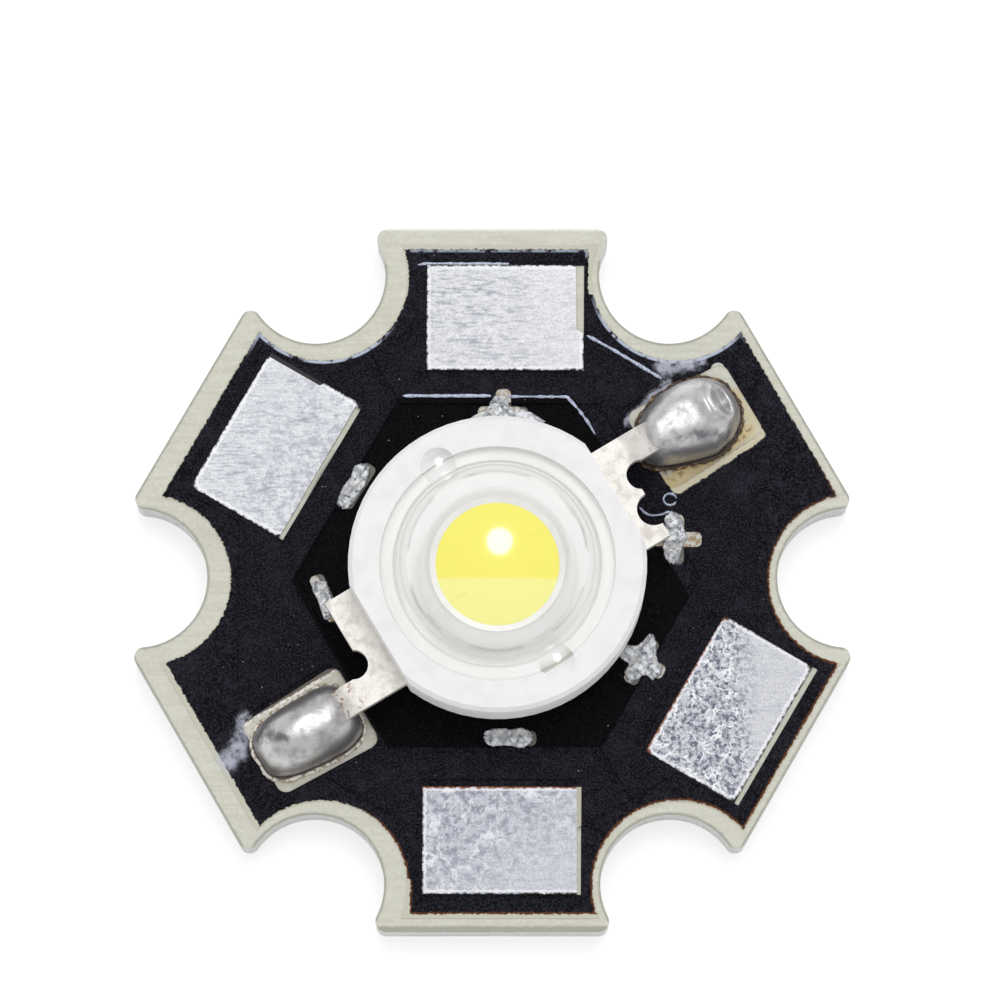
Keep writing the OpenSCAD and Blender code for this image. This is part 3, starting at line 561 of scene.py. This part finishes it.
def paintWire():
    # gold wire wetted by the phosphor over the chip and by the white of the cup beyond it,
    # and all but clear, because the photo shows no wire
    look = {"white": "#f6f3ea", "shade": "#ece7d6", "phosphor": "#fff862", "alpha": 0.04}
    p = Paint("gold")
    u, v = toEmitter(*p.place()[:2])
    over = p.step(p.length(u, v), 1.62, 1.54)
    patch = p.noise(0.1, seed=1)
    p.ground(over, p.blend(patch, look["white"], look["shade"]), look["phosphor"])
    return p.surface(rough=0.4 + patch * 0.2, alpha=look["alpha"], normal=p.bump(patch, 0.005, 0.4))


def paintClear(name, ior, rough, polishedFrom=None):
    # clear to shadow and diffuse rays, so that what lies under it is lit as the white body is;
    # above the height polishedFrom the surface is smooth and carries a hard bright coat
    p = Paint(name)
    matt = 1.0
    if polishedFrom is not None:
        matt = p.step(p.place()[2], polishedFrom + 0.03, polishedFrom - 0.03)
    glass = p.node("BsdfPrincipled", None, {
        "Base Color": (1, 1, 1, 1), "Roughness": matt * (rough + p.noise(0.5) * 0.03), "IOR": ior,
        "Transmission Weight": 1.0, "Coat Weight": 1.0 - matt, "Coat IOR": 2.1, "Coat Roughness": 0.15})
    clear = p.node("BsdfTransparent", None, {0: (1, 1, 1, 1)})
    unbent = p.most(*(p.node("LightPath", out=f"Is {ray} Ray") for ray in ("Shadow", "Diffuse")))
    return p.finish(p.node("MixShader", None, {0: unbent, 1: glass, 2: clear}))


def makeMesh(name, points, faces, material, body="root"):
    mesh = bpy.data.meshes.new(name)
    mesh.from_pydata(np.asarray(points).reshape(-1, 3) * mm, [], np.asarray(faces).tolist())
    mesh.validate()
    mesh.materials.append(material)
    mesh.polygons.foreach_set("use_smooth", [True] * len(mesh.polygons))
    piece = addObject(name, mesh)
    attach(piece, body)
    return piece


def weld(piece, gap=1e-8, closeEnds=False):
    # joins points closer than gap in metres; closeEnds also fills the open end rings
    work = bmesh.new()
    work.from_mesh(piece.data)
    bmesh.ops.remove_doubles(work, verts=work.verts, dist=gap)
    bmesh.ops.dissolve_degenerate(work, edges=work.edges, dist=gap)
    if closeEnds:
        bmesh.ops.recalc_face_normals(work, faces=work.faces)
        bmesh.ops.holes_fill(work, edges=[e for e in work.edges if e.is_boundary], sides=0)
    bmesh.ops.recalc_face_normals(work, faces=work.faces)
    work.to_mesh(piece.data)
    work.free()
    return piece


def gridFaces(rows, columns):
    # quads of a grid of rows by columns points, its last column joined to the first
    i, j = np.meshgrid(np.arange(rows - 1), np.arange(columns), indexing="ij")
    k = (j + 1) % columns
    return np.stack([i * columns + j, i * columns + k, (i + 1) * columns + k, (i + 1) * columns + j],
                    axis=-1).reshape(-1, 4)


def onBoard(u, v, w):
    # the emitter's own u, v and height, turned and moved to where it sits on the board
    c, s = math.cos(emitter["turn"]), math.sin(emitter["turn"])
    return np.stack([emitter["x"] + u * c - v * s, emitter["y"] + u * s + v * c, emitter["z"] + w], axis=-1)


def turns(count):
    # count angles of a full turn, as a row
    return np.linspace(0, 2 * np.pi, count, endpoint=False)[None, :]


def revolve(profile, count, v=0.0):
    # surface of revolution about an axis at v: each (r, z) of the profile turned by angle a gives
    # (r cos a, v + r sin a, z)
    r, z = np.array(profile).T[:, :, None]
    a = turns(count)
    return onBoard(r * np.cos(a), v + r * np.sin(a), z + 0 * a), gridFaces(len(profile), count)


def arcPoints(centre, radius, start, end, steps):
    a = np.radians(np.linspace(start, end, steps))
    return list(zip(centre[0] + radius * np.cos(a), centre[1] + radius * np.sin(a)))


def makeLens(material):
    # one closed clear body: flange and dome outside, and below it the cavity that the fill takes up;
    # two rings set hold inside the flange's rounded edges keep its level top flat in the shading
    lens = {"domeR": 2.87, "domeZ": 2.80, "flangeR": 3.3, "flangeTop": 3.02, "seat": 2.69, "middle": 1.2,
            "cavityTop": 2.97, "cavityFloor": 2.47, "floor": 1.72, "fillet": 0.09, "round": 0.04,
            "hold": 0.006, "around": 160, "edgeSteps": 5, "footSteps": 6, "domeSteps": 40}
    outR, footZ = lens["domeR"] + lens["fillet"], lens["flangeTop"] + lens["fillet"]
    foot = math.degrees(math.asin((footZ - lens["domeZ"]) / outR))
    footR = outR * math.cos(math.radians(foot))
    edgeR = lens["flangeR"] - lens["round"]
    profile = [(0, lens["floor"]), (lens["middle"], lens["floor"]), (lens["cavityFloor"], lens["floor"]),
               (lens["cavityTop"], lens["seat"]), (lens["flangeR"], lens["seat"])]
    profile += arcPoints((edgeR, lens["flangeTop"] - lens["round"]), lens["round"], 0, 90, lens["edgeSteps"])
    profile += [(edgeR - lens["hold"], lens["flangeTop"]), (footR + lens["hold"], lens["flangeTop"])]
    profile += arcPoints((footR, footZ), lens["fillet"], 270, 180 + foot, lens["footSteps"])
    profile += arcPoints((0, lens["domeZ"]), lens["domeR"], foot, 90, lens["domeSteps"])[1:]
    profile[-1] = (0, lens["domeZ"] + lens["domeR"])
    piece = weld(makeMesh("lensDome", *revolve(profile, lens["around"]), material))
    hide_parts("lens")


def makeFill(material):
    # the softer fill inside the dome: its surface bends light only a little against the lens
    fill = {"domeR": 2.45, "domeZ": 2.80, "seat": 2.695, "cavityTop": 2.955, "cavityFloor": 2.455,
            "floor": 1.73, "around": 128, "steps": 36}
    profile = [(0, fill["floor"]), (fill["cavityFloor"], fill["floor"]), (fill["cavityTop"], fill["seat"]),
               (fill["domeR"], fill["seat"])]
    profile += arcPoints((0, fill["domeZ"]), fill["domeR"], 0, 90, fill["steps"])
    profile[-1] = (0, fill["domeZ"] + fill["domeR"])
    piece = weld(makeMesh("fillDome", *revolve(profile, fill["around"]), material))
    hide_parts("silicone_fill")


def makePhosphor(material):
    # the pool of phosphor as one skin with no bores for the wires: a cone up from the cup's floor,
    # and over its mouth a crown cut from a sphere, whose radius follows from mouth and crown height;
    # a ring at hold inside the rim keeps the shading of the crown clear of the cone's
    pool = {"floorR": 0.9, "hold": 0.005, "rings": 20, "around": 128}
    low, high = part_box("phosphor")
    mouth = (high.x - low.x) / 2 / mm
    floor, rim, top = (z / mm - emitter["z"] for z in (low.z, slugHigh.z, high.z))
    crown = top - rim
    ballR = (mouth ** 2 + crown ** 2) / (2 * crown)
    r = np.append(mouth, np.linspace(mouth - pool["hold"], 0, pool["rings"]))
    profile = [(0, floor), (pool["floorR"], floor)] + list(zip(r, top - ballR + np.sqrt(ballR ** 2 - r ** 2)))
    piece = weld(makeMesh("phosphorPool", *revolve(profile, pool["around"]), material))
    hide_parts("phosphor")


def makeNubs(material):
    # two low caps of fill that stand in the ports: at angle a from its foot the cap has the
    # radius r cos a and the height low + rise sin a squared, and its foot is just in the flange
    nub = {"at": 3.24, "r": 0.5, "foot": 3.0, "low": 3.03, "rise": 0.15, "lip": 0.01, "around": 48,
           "steps": 12}
    a = np.linspace(0, np.pi / 2, nub["steps"])
    profile = [(0, nub["foot"]), (nub["r"], nub["foot"]), (nub["r"], nub["low"] - nub["lip"])]
    profile += list(zip(nub["r"] * np.cos(a), nub["low"] + nub["rise"] * np.sin(a) ** 2))
    (upper, faces), (lower, faces) = (revolve(profile, nub["around"], side * nub["at"]) for side in (1, -1))
    caps = np.concatenate([upper.reshape(-1, 3), lower.reshape(-1, 3)])
    faces = np.concatenate([faces, faces + len(caps) // 2])
    piece = weld(makeMesh("fillNubs", caps, faces, material))


def smoothLoop(points, count):
    # closed curve through the points: Catmull-Rom, each span t from 0 to 1 with the cubic's four weights
    p = np.array(points, float)
    n = len(p)
    s = np.linspace(0, n, count, endpoint=False)
    i = np.floor(s).astype(int)
    t = (s - i)[:, None]
    a, b, c, d = (p[(i + k) % n] for k in (-1, 0, 1, 2))
    return 0.5 * (2 * b + (c - a) * t + (2 * a - 5 * b + 4 * c - d) * t ** 2
                  + (3 * b - a - 3 * c + d) * t ** 3)


def jointPlan(joint):
    # stations a from -1 to 1 along a joint; the outline between low and high is drawn in towards
    # both ends by (1 - |a|^n)^(1/n), which closes it as a superellipse
    stations = 61
    a = np.sin(np.linspace(-1, 1, stations) * np.pi / 2)[:, None]
    start, end = joint["from"], joint["to"]
    u = (start + end) / 2 + (end - start) / 2 * a
    n = np.where(a < 0, joint["squareIn"], joint["squareOut"])
    draw = (1 - np.abs(a) ** n) ** (1 / n)
    low, high, crest = (np.interp(u, joint["at"], joint[key]) for key in ("lowSide", "highSide", "crest"))
    middle = (low + high) / 2 * draw + joint["endMiddle"] * (1 - draw)
    return {"u": u, "draw": draw, "middle": middle, "half": (high - low) / 2 * draw, "crest": crest}


def makeJoint(joint, side, material):
    # a pillow of solder: across the plan's outline each section is a superellipse as high as the crest;
    # a dent sinks by exp(-fall d^2) inside a raised ring, and crossed sines make the top uneven
    shape = {"round": 49, "draft": 0.98, "under": 0.012, "uneven": 0.016}
    dented = {"fall": 2.5, "ring": 0.55, "ringAt": 1.15, "ringWide": 0.28}
    plan = jointPlan(joint)
    u, draw = plan["u"], plan["draw"]
    base = copperTop - emitter["z"]
    t = np.linspace(0, 1, shape["round"])[None, :] * np.pi
    across = np.sign(np.cos(t)) * np.abs(np.cos(t)) ** (2 / joint["round"])
    upward = np.abs(np.sin(t)) ** (2 / joint["round"])
    v = plan["middle"] - plan["half"] * across
    w = base + (plan["crest"] - base) * draw * upward
    for dent in joint["dents"]:
        d = np.hypot((u - dent["u"]) / dent["du"], (v - dent["v"]) / dent["dv"])
        ring = np.exp(-((d - dented["ringAt"]) / dented["ringWide"]) ** 2)
        w = w - dent["depth"] * (np.exp(-dented["fall"] * d ** 2) - dented["ring"] * ring) * upward
    w = w + shape["uneven"] * np.sin(u * 5.1 + 1.3) * np.sin(v * 6.3 + u) * upward * draw
    top = onBoard(side * (u + 0 * t), side * v, w)
    inner = plan["middle"] + (v - plan["middle"]) * shape["draft"]
    foot = onBoard(side * (u + 0 * t), side * inner, base - shape["under"] + 0 * w)
    skin = np.concatenate([top, foot[:, ::-1]], axis=1)
    return weld(makeMesh(joint["name"], skin, gridFaces(len(u), skin.shape[1]), material), 2e-7)


def makeCollar(joint, side, material):
    # a bead of flux along the joint's closed outline: its section at angle s is an oval of
    # reach cos s outwards and rise sin s upwards, cut off level just under the copper's top
    collar = {"reach": 0.11, "rise": 0.1, "out": 0.02, "under": 0.078, "round": 14}
    # lumps along it: each a sine's share of the size, its waves per mm and its start
    lumps = ((0.16, 9.0, 0), (0.14, 23.0, 1), (0.08, 41.0, 0))
    plan = jointPlan(joint)
    u, middle, half = (plan[k][:, 0] for k in ("u", "middle", "half"))
    lowEdge, highEdge = (np.stack([u, middle + k * half], axis=-1) for k in (-1, 1))
    loop = np.concatenate([lowEdge, highEdge[-2:0:-1]])
    run = np.roll(loop, -1, axis=0) - np.roll(loop, 1, axis=0)
    normal = np.stack([run[:, 1], -run[:, 0]], axis=-1) / np.hypot(run[:, 0], run[:, 1])[:, None]
    far = np.cumsum(np.hypot(*(loop - np.roll(loop, 1, axis=0)).T))
    size = (1 + sum(share * np.sin(far * waves + start) for share, waves, start in lumps))[:, None]
    s = turns(collar["round"])
    outward = collar["out"] + collar["reach"] * size * np.cos(s)
    w = copperTop - emitter["z"] + np.maximum(collar["rise"] * size * np.sin(s), -collar["under"])
    plane = loop[:, None, :] + normal[:, None, :] * outward[:, :, None]
    tube = onBoard(side * plane[..., 0], side * plane[..., 1], w)
    tube = np.concatenate([tube, tube[:1]])
    piece = makeMesh(joint["name"] + "Flux", tube, gridFaces(len(tube), tube.shape[1]), material)
    layer = piece.data.attributes.new("outward", "FLOAT", "POINT")
    layer.data.foreach_set("value", np.concatenate([outward, outward[:1]]).ravel())
    weld(piece, 2e-7)


def makeDrop(name, mark, on, height, material):
    # a low drop inside a given outline: rings shrink from the outline by s and rise by
    # height (1 - (1 - s)^n)^(1/n), with lumps from crossed sines and a rim that is shaken too
    shape = {"perPoint": 20, "rings": 22, "lastRing": 0.95, "square": 4, "flat": 0.8, "lumpy": 0.28,
             "under": 0.015, "ragged": 0.018, "lumps": 0.09}
    loop = smoothLoop(mark["outline"], shape["perPoint"] * len(mark["outline"]))
    phase = np.arange(len(loop)) / len(loop) * 2 * np.pi
    centre = np.array(mark["centre"])
    waves = np.sin(phase * 17 + 1) + 0.7 * np.sin(phase * 29) + 0.5 * np.sin(phase * 43 + 2)
    loop = centre + (loop - centre) * (1 + shape["ragged"] * waves)[:, None]
    s = np.sin(np.linspace(0, 1, shape["rings"]) * np.pi / 2)[:, None]
    s = s[(s[:, 0] < shape["lastRing"]) | (s[:, 0] == 1)]      # no rings crowded round the pole
    x, y = (loop[None, :, k] * (1 - s) + centre[k] * s for k in (0, 1))
    n, size = shape["square"], shape["lumps"]
    rise = (1 - (1 - s) ** n) ** (1 / n)
    lumps = np.sin(x / size + y * 3.1) * np.sin(y / size - x * 2.3)
    lumps = lumps + 0.6 * np.sin(x * 1.9 / size) * np.sin(y * 2.1 / size)
    z = on + height * rise * (shape["flat"] + shape["lumpy"] * lumps)
    top = np.stack([x, y, z], axis=-1)
    foot = [np.insert(ring, 2, on - shape["under"], axis=1)[None]
            for ring in (0 * loop + centre, (loop + centre) / 2, loop)]
    rings = np.concatenate(foot + [top])
    return weld(makeMesh(name, rings, gridFaces(len(rings), rings.shape[1]), material), 3e-8)


def makeBeads(name, lines, on, material):
    # thin ridges laid on the board: along each line a flat oval section of its own width,
    # pinched to nothing at both ends and a little uneven between; soft rounds a line's corners
    bead = {"step": 0.05, "fewest": 12, "pinch": 0.12, "least": 0.002, "round": 10}
    clouds, faces, count = [], [], 0
    a = turns(bead["round"])
    for line in lines:
        path = np.array(line["path"], float)
        far = np.concatenate([[0], np.cumsum(np.hypot(*np.diff(path, axis=0).T))])
        t = np.linspace(0, far[-1], max(bead["fewest"], int(far[-1] / bead["step"])))
        x, y = (np.interp(t, far, path[:, k]) for k in (0, 1))
        if line.get("soft"):
            kernel = np.hanning(line["soft"] + 2)[1:-1]
            kernel /= kernel.sum()
            pad = len(kernel) // 2
            x, y = (np.convolve(np.pad(c, pad, "edge"), kernel, "valid")[:len(t)] for c in (x, y))
        nx, ny = -np.gradient(y), np.gradient(x)
        length = np.hypot(nx, ny) + 1e-9
        ends = np.clip(np.minimum(t, far[-1] - t) / bead["pinch"], 0, 1) ** 0.5
        uneven = 1 - line["uneven"] * (0.5 + 0.5 * np.sin(t * 13 + 2 * np.sin(t * 5.3)))
        half = (line["width"] / 2 * ends * uneven + bead["least"])[:, None]
        px, py = (c[:, None] + half * np.cos(a) * (n / length)[:, None] for c, n in ((x, nx), (y, ny)))
        pz = on + line["height"] * ends[:, None] * np.sin(a)
        clouds.append(np.stack([px, py, pz], axis=-1).reshape(-1, 3))
        faces.append(gridFaces(len(t), bead["round"]) + count)
        count += len(clouds[-1])
    return weld(makeMesh(name, np.concatenate(clouds), np.concatenate(faces), material), 2e-7, closeEnds=True)


def makeFloor():
    # white to the camera and to rays that the lens bends or a surface mirrors, grey card to all others
    card = {"colour": (0.55, 0.55, 0.55, 1), "glow": 0.6, "reach": 0.6}
    p = Paint("floor")
    plain = p.node("BsdfDiffuse", None, {"Color": card["colour"]})
    glow = p.node("Emission", None, {"Color": (1, 1, 1, 1), "Strength": card["glow"]})
    both = p.node("AddShader", None, {0: plain, 1: glow})
    seen = p.most(*(p.node("LightPath", out=f"Is {ray} Ray") for ray in ("Camera", "Glossy", "Transmission")))
    p.finish(p.node("MixShader", None, {0: seen, 1: plain, 2: both}))
    corners = [(x * card["reach"], y * card["reach"], 0) for x, y in ((-1, -1), (1, -1), (1, 1), (-1, 1))]
    mesh = bpy.data.meshes.new("floor")
    mesh.from_pydata(corners, [], [(0, 1, 2, 3)])
    mesh.materials.append(p.material)
    floor = addObject("floor", mesh)


def makeWorld():
    studio = {"colour": (1, 1, 1, 1), "strength": 0.7}
    world = bpy.data.worlds.new("studio")
    bpy.context.scene.world = world
    world.use_nodes = True
    sky = world.node_tree.nodes["Background"]
    sky.inputs["Color"].default_value = studio["colour"]
    sky.inputs["Strength"].default_value = studio["strength"]


makeCamera()
makeWorld()
makeFloor()
makeLamp()
print("stage: camera, light and floor")

# the bare pads: turn is that of a pad's arm; wear holds the shares of the distance out and of x in
# the sum that the worn part follows, and the sums where it begins and is full; plainPad has the rest
plainPad = {"wander": 1.6, "corner": 0.0, "fade": 0.0, "grit": 0.0, "bead": 0.6, "burnt": 0.0, "sliver": 0.0}
pads = {
    "tin_top": {
        "turn": 90, "seed": 1, "light": "#ecedef", "shade": "#cfd0d5", "blotch": 0.16, "wrinkle": 1.2,
        "crease": 0.2, "dashes": 0.95, "worn": 0.25, "wear": (-0.5, -0.6, -6.0, -2.0), "fade": 0.6,
        "bead": 0.5},
    "tin_upper_left": {
        "turn": 150, "seed": 11, "light": "#ebecef", "shade": "#c9ccd2", "blotch": 0.22, "wrinkle": 1.3,
        "crease": 0.3, "dashes": 0.7, "worn": 0.35, "wear": (-1.0, 0.0, -9.5, -6.0), "corner": 0.3,
        "grit": 0.1, "bead": 0.7},
    "tin_bottom": {
        "turn": 270, "seed": 21, "light": "#d9dbe1", "shade": "#b9bcc6", "blotch": 0.24, "wrinkle": 0.9,
        "crease": 0.6, "dashes": 0.4, "worn": 0.6, "wear": (-0.8, -0.6, -8.4, -5.0), "grit": 0.25,
        "burnt": 0.8, "sliver": 1.0},
    "tin_lower_right": {
        "turn": 330, "seed": 31, "light": "#dcdde1", "shade": "#bfc1c8", "blotch": 0.15, "wrinkle": 0.55,
        "crease": 0.9, "dashes": 0.35, "worn": 1.0, "wear": (0.0, -1.0, -7.7, -6.8), "wander": 1.0,
        "corner": 0.25, "grit": 0.85, "burnt": 0.8},
}
copper, lead, gold, tinned = paintCopper(), paintLead(), paintWire(), paintMark()
finishes = {
    "solder_mask": paintMask(),
    "dielectric": paintDielectric(),
    "aluminium_base": paintAluminium(),
    "housing": paintHousing(),
    "heat_slug": paintSlug(),
    "die_attach": paintSmall("dieAttach", "#c8c8c8", "#9d9d9d", 0.8),
    "led_chip": paintSmall("chip", "#5b7ab0", "#3c5a92", 0.2, 0.3),
    "slug_solder": paintSmall("slugSolder", "#9b9995", "#7b7975", 0.9, 0.4),
    "copper_positive": copper, "copper_negative": copper, "thermal_pad": copper,
    "anode_lead": lead, "cathode_lead": lead,
    "bond_wire_anode": gold, "bond_wire_cathode": gold,
}
for name, look in pads.items():
    finishes[name] = paintTin(name, {**plainPad, **look})
for name, part in cadParts.items():
    part.data.materials.clear()
    part.data.materials.append(finishes.get(name, tinned))
print("stage: finishes on the board and emitter")

anodeMetal = paintSolder("anodeSolder", {
    "metal": "#d6d5d6", "dull": "#b3b1b4", "shade": "#6b676d", "line": "#33261d",
    "rough": 0.34, "seed": 3, "darkReflection": ((5.9, 0.75), (7.6, 0.1), 0.24)})
cathodeMetal = paintSolder("cathodeSolder", {
    "metal": "#cfcdcd", "dull": "#a6a3a6", "shade": "#5a565c", "line": "#4c3b30",
    "rough": 0.32, "seed": 5, "darkReflection": ((7.5, 1.0), (8.1, 0.6), 0.3)})
anodeFlux = paintCollar("anodeFlux", {
    "bead": "#a98a5e", "between": "#4c3523", "line": "#2a1e17", "beadsFrom": 0.52, "darkTo": 0.07,
    "dark": 0.95})
cathodeFlux = paintCollar("cathodeFlux", {
    "bead": "#efe9df", "between": "#a39580", "line": "#3a2b21", "beadsFrom": 0.42, "darkTo": 0.05,
    "dark": 0.9})

makeLens(paintClear("lensClear", 1.49, 0.3, flangeTop + 0.1))
makeFill(paintClear("fillClear", 0.946, 0.0))
makeNubs(paintClear("nubClear", 1.16, 0.15, flangeTop - 0.02))
makePhosphor(paintPhosphor())
print("stage: lens, fill and phosphor")

anodeJoint = {
    "name": "anodeJoint", "from": 5.3, "to": 8.44, "squareIn": 6.0, "squareOut": 3.4, "round": 2.7,
    "endMiddle": 0.9,
    "at": [5.3, 5.6, 6.0, 6.6, 7.2, 7.8, 8.2, 8.5],
    "lowSide": [0.5, 0.32, 0.15, -0.05, -0.2, -0.11, 0.05, 0.24],
    "highSide": [1.52, 1.62, 1.88, 2.08, 2.09, 2.01, 1.91, 1.72],
    "crest": [1.77, 1.82, 1.85, 1.82, 1.72, 1.52, 1.3, 1.05],
    "dents": [{"u": 7.93, "v": 0.92, "du": 0.23, "dv": 0.5, "depth": 0.34}],
}
cathodeJoint = {
    "name": "cathodeJoint", "from": 5.45, "to": 8.46, "squareIn": 5.0, "squareOut": 4.2, "round": 2.5,
    "endMiddle": 1.1,
    "at": [5.4, 5.7, 6.2, 6.8, 7.2, 7.6, 8.0, 8.5],
    "lowSide": [0.25, 0.14, 0.1, 0.1, 0.1, 0.12, 0.16, 0.25],
    "highSide": [1.95, 2.0, 2.06, 2.04, 2.0, 1.95, 1.88, 1.78],
    "crest": [1.68, 1.73, 1.79, 1.84, 1.85, 1.8, 1.62, 1.25],
    "dents": [],
}
anode = makeJoint(anodeJoint, 1, anodeMetal)
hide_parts("solder_joint_anode")
cathode = makeJoint(cathodeJoint, -1, cathodeMetal)
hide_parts("solder_joint_cathode")
makeCollar(anodeJoint, 1, anodeFlux)
makeCollar(cathodeJoint, -1, cathodeFlux)
print("stage: solder joints")

# outlines of the tinned marks, drawn in mm on the board
marks = {
    "plus_top": {"centre": (0.3, 4.75), "outline": [
        (0.05, 5.24), (0.38, 5.24), (0.46, 5.02), (0.55, 4.85), (0.85, 4.87), (1.15, 4.74), (1.5, 4.48),
        (1.2, 4.3), (0.5, 4.25), (0.0, 4.28), (-0.55, 4.45), (-0.62, 4.62), (-0.25, 4.82), (-0.1, 5.0)]},
    "plus_upper_right": {"centre": (5.15, 1.15), "outline": [
        (5.12, 1.93), (4.91, 1.75), (4.9, 1.42), (4.66, 1.45), (4.64, 1.2), (4.66, 0.95), (4.88, 1.1),
        (4.86, 0.88), (4.9, 0.6), (5.05, 0.4), (5.28, 0.41), (5.36, 0.64), (5.47, 0.97), (5.58, 1.12),
        (5.5, 1.32), (5.43, 1.6), (5.3, 1.84)]},
    "plus_lower_right": {"centre": (4.2, -2.35), "outline": [
        (3.57, -2.23), (3.7, -1.95), (4.14, -1.92), (4.48, -1.61), (4.65, -1.77), (4.69, -2.3),
        (4.85, -2.64), (4.6, -2.95), (4.33, -2.81), (3.93, -3.02), (3.75, -2.73), (3.86, -2.49)]},
    "minus_bottom": {"centre": (0.45, -4.6), "outline": [
        (-0.26, -4.6), (-0.19, -4.38), (0.26, -4.31), (0.54, -4.34), (0.85, -4.3), (1.09, -4.43),
        (1.17, -4.62), (1.02, -4.81), (0.83, -4.88), (0.52, -4.83), (0.23, -4.82), (-0.03, -4.84),
        (-0.22, -4.72)]},
    "minus_lower_left": {"centre": (-4.83, -0.68), "outline": [
        (-5.14, -0.33), (-5.07, -0.14), (-4.76, -0.09), (-4.69, -0.24), (-4.57, -0.57), (-4.52, -0.95),
        (-4.6, -1.18), (-4.76, -1.22), (-4.88, -0.96), (-4.97, -0.67)]},
    "minus_upper_left": {"centre": (-3.95, 2.62), "outline": [
        (-3.5, 3.16), (-3.67, 3.29), (-3.93, 3.23), (-4.05, 2.91), (-4.29, 2.58), (-4.44, 2.15),
        (-4.36, 2.03), (-4.19, 1.95), (-3.91, 2.22), (-3.67, 2.58), (-3.53, 2.91)]},
}
for node, mark in marks.items():
    low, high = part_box(node)
    height = (high.z - low.z) / mm + 0.02
    drop = makeDrop(node.replace("_", "") + "Tin", mark, low.z / mm, height, tinned)
    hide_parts(node)
print("stage: tinned marks")

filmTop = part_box("solder_mask")[1].z / mm
# pale ridges on the film: the first four are painted highlights on the film's steps over the copper's edges,
# the last two a strand and a bubble of flux
ridges = [
    {"path": [(-2.58, 5.24), (0.0, 5.24)], "width": 0.11, "height": 0.025, "uneven": 0.25},
    {"path": [(0.42, 5.22), (2.14, 5.21), (2.5, 4.8), (2.75, 4.45), (2.95, 4.1)], "width": 0.1,
     "height": 0.025, "uneven": 0.5},
    {"path": [(2.69, 7.0), (3.5, 6.55), (4.87, 5.72)], "width": 0.11, "height": 0.03, "uneven": 0.35},
    {"path": [(-2.15, 9.04), (-1.9, 9.08), (0.5, 9.07)], "width": 0.09, "height": 0.02, "uneven": 0.4},
    {"path": [(4.17, 2.05), (4.35, 1.85), (4.5, 1.78), (4.8, 1.8), (5.1, 1.92)], "width": 0.08,
     "height": 0.05, "uneven": 0.3, "soft": 7},
    {"path": [(5.07 + 0.19 * math.cos(k * 0.6), 2.25 + 0.17 * math.sin(k * 0.6)) for k in range(11)],
     "width": 0.08, "height": 0.06, "uneven": 0.3},
]
glintAndFluxPiece = makeBeads("filmGlintsAndFlux", ridges, filmTop - 0.005, paintGlint())
print("stage: ridges on the film")

bpy.context.scene.view_settings.view_transform = "Standard"
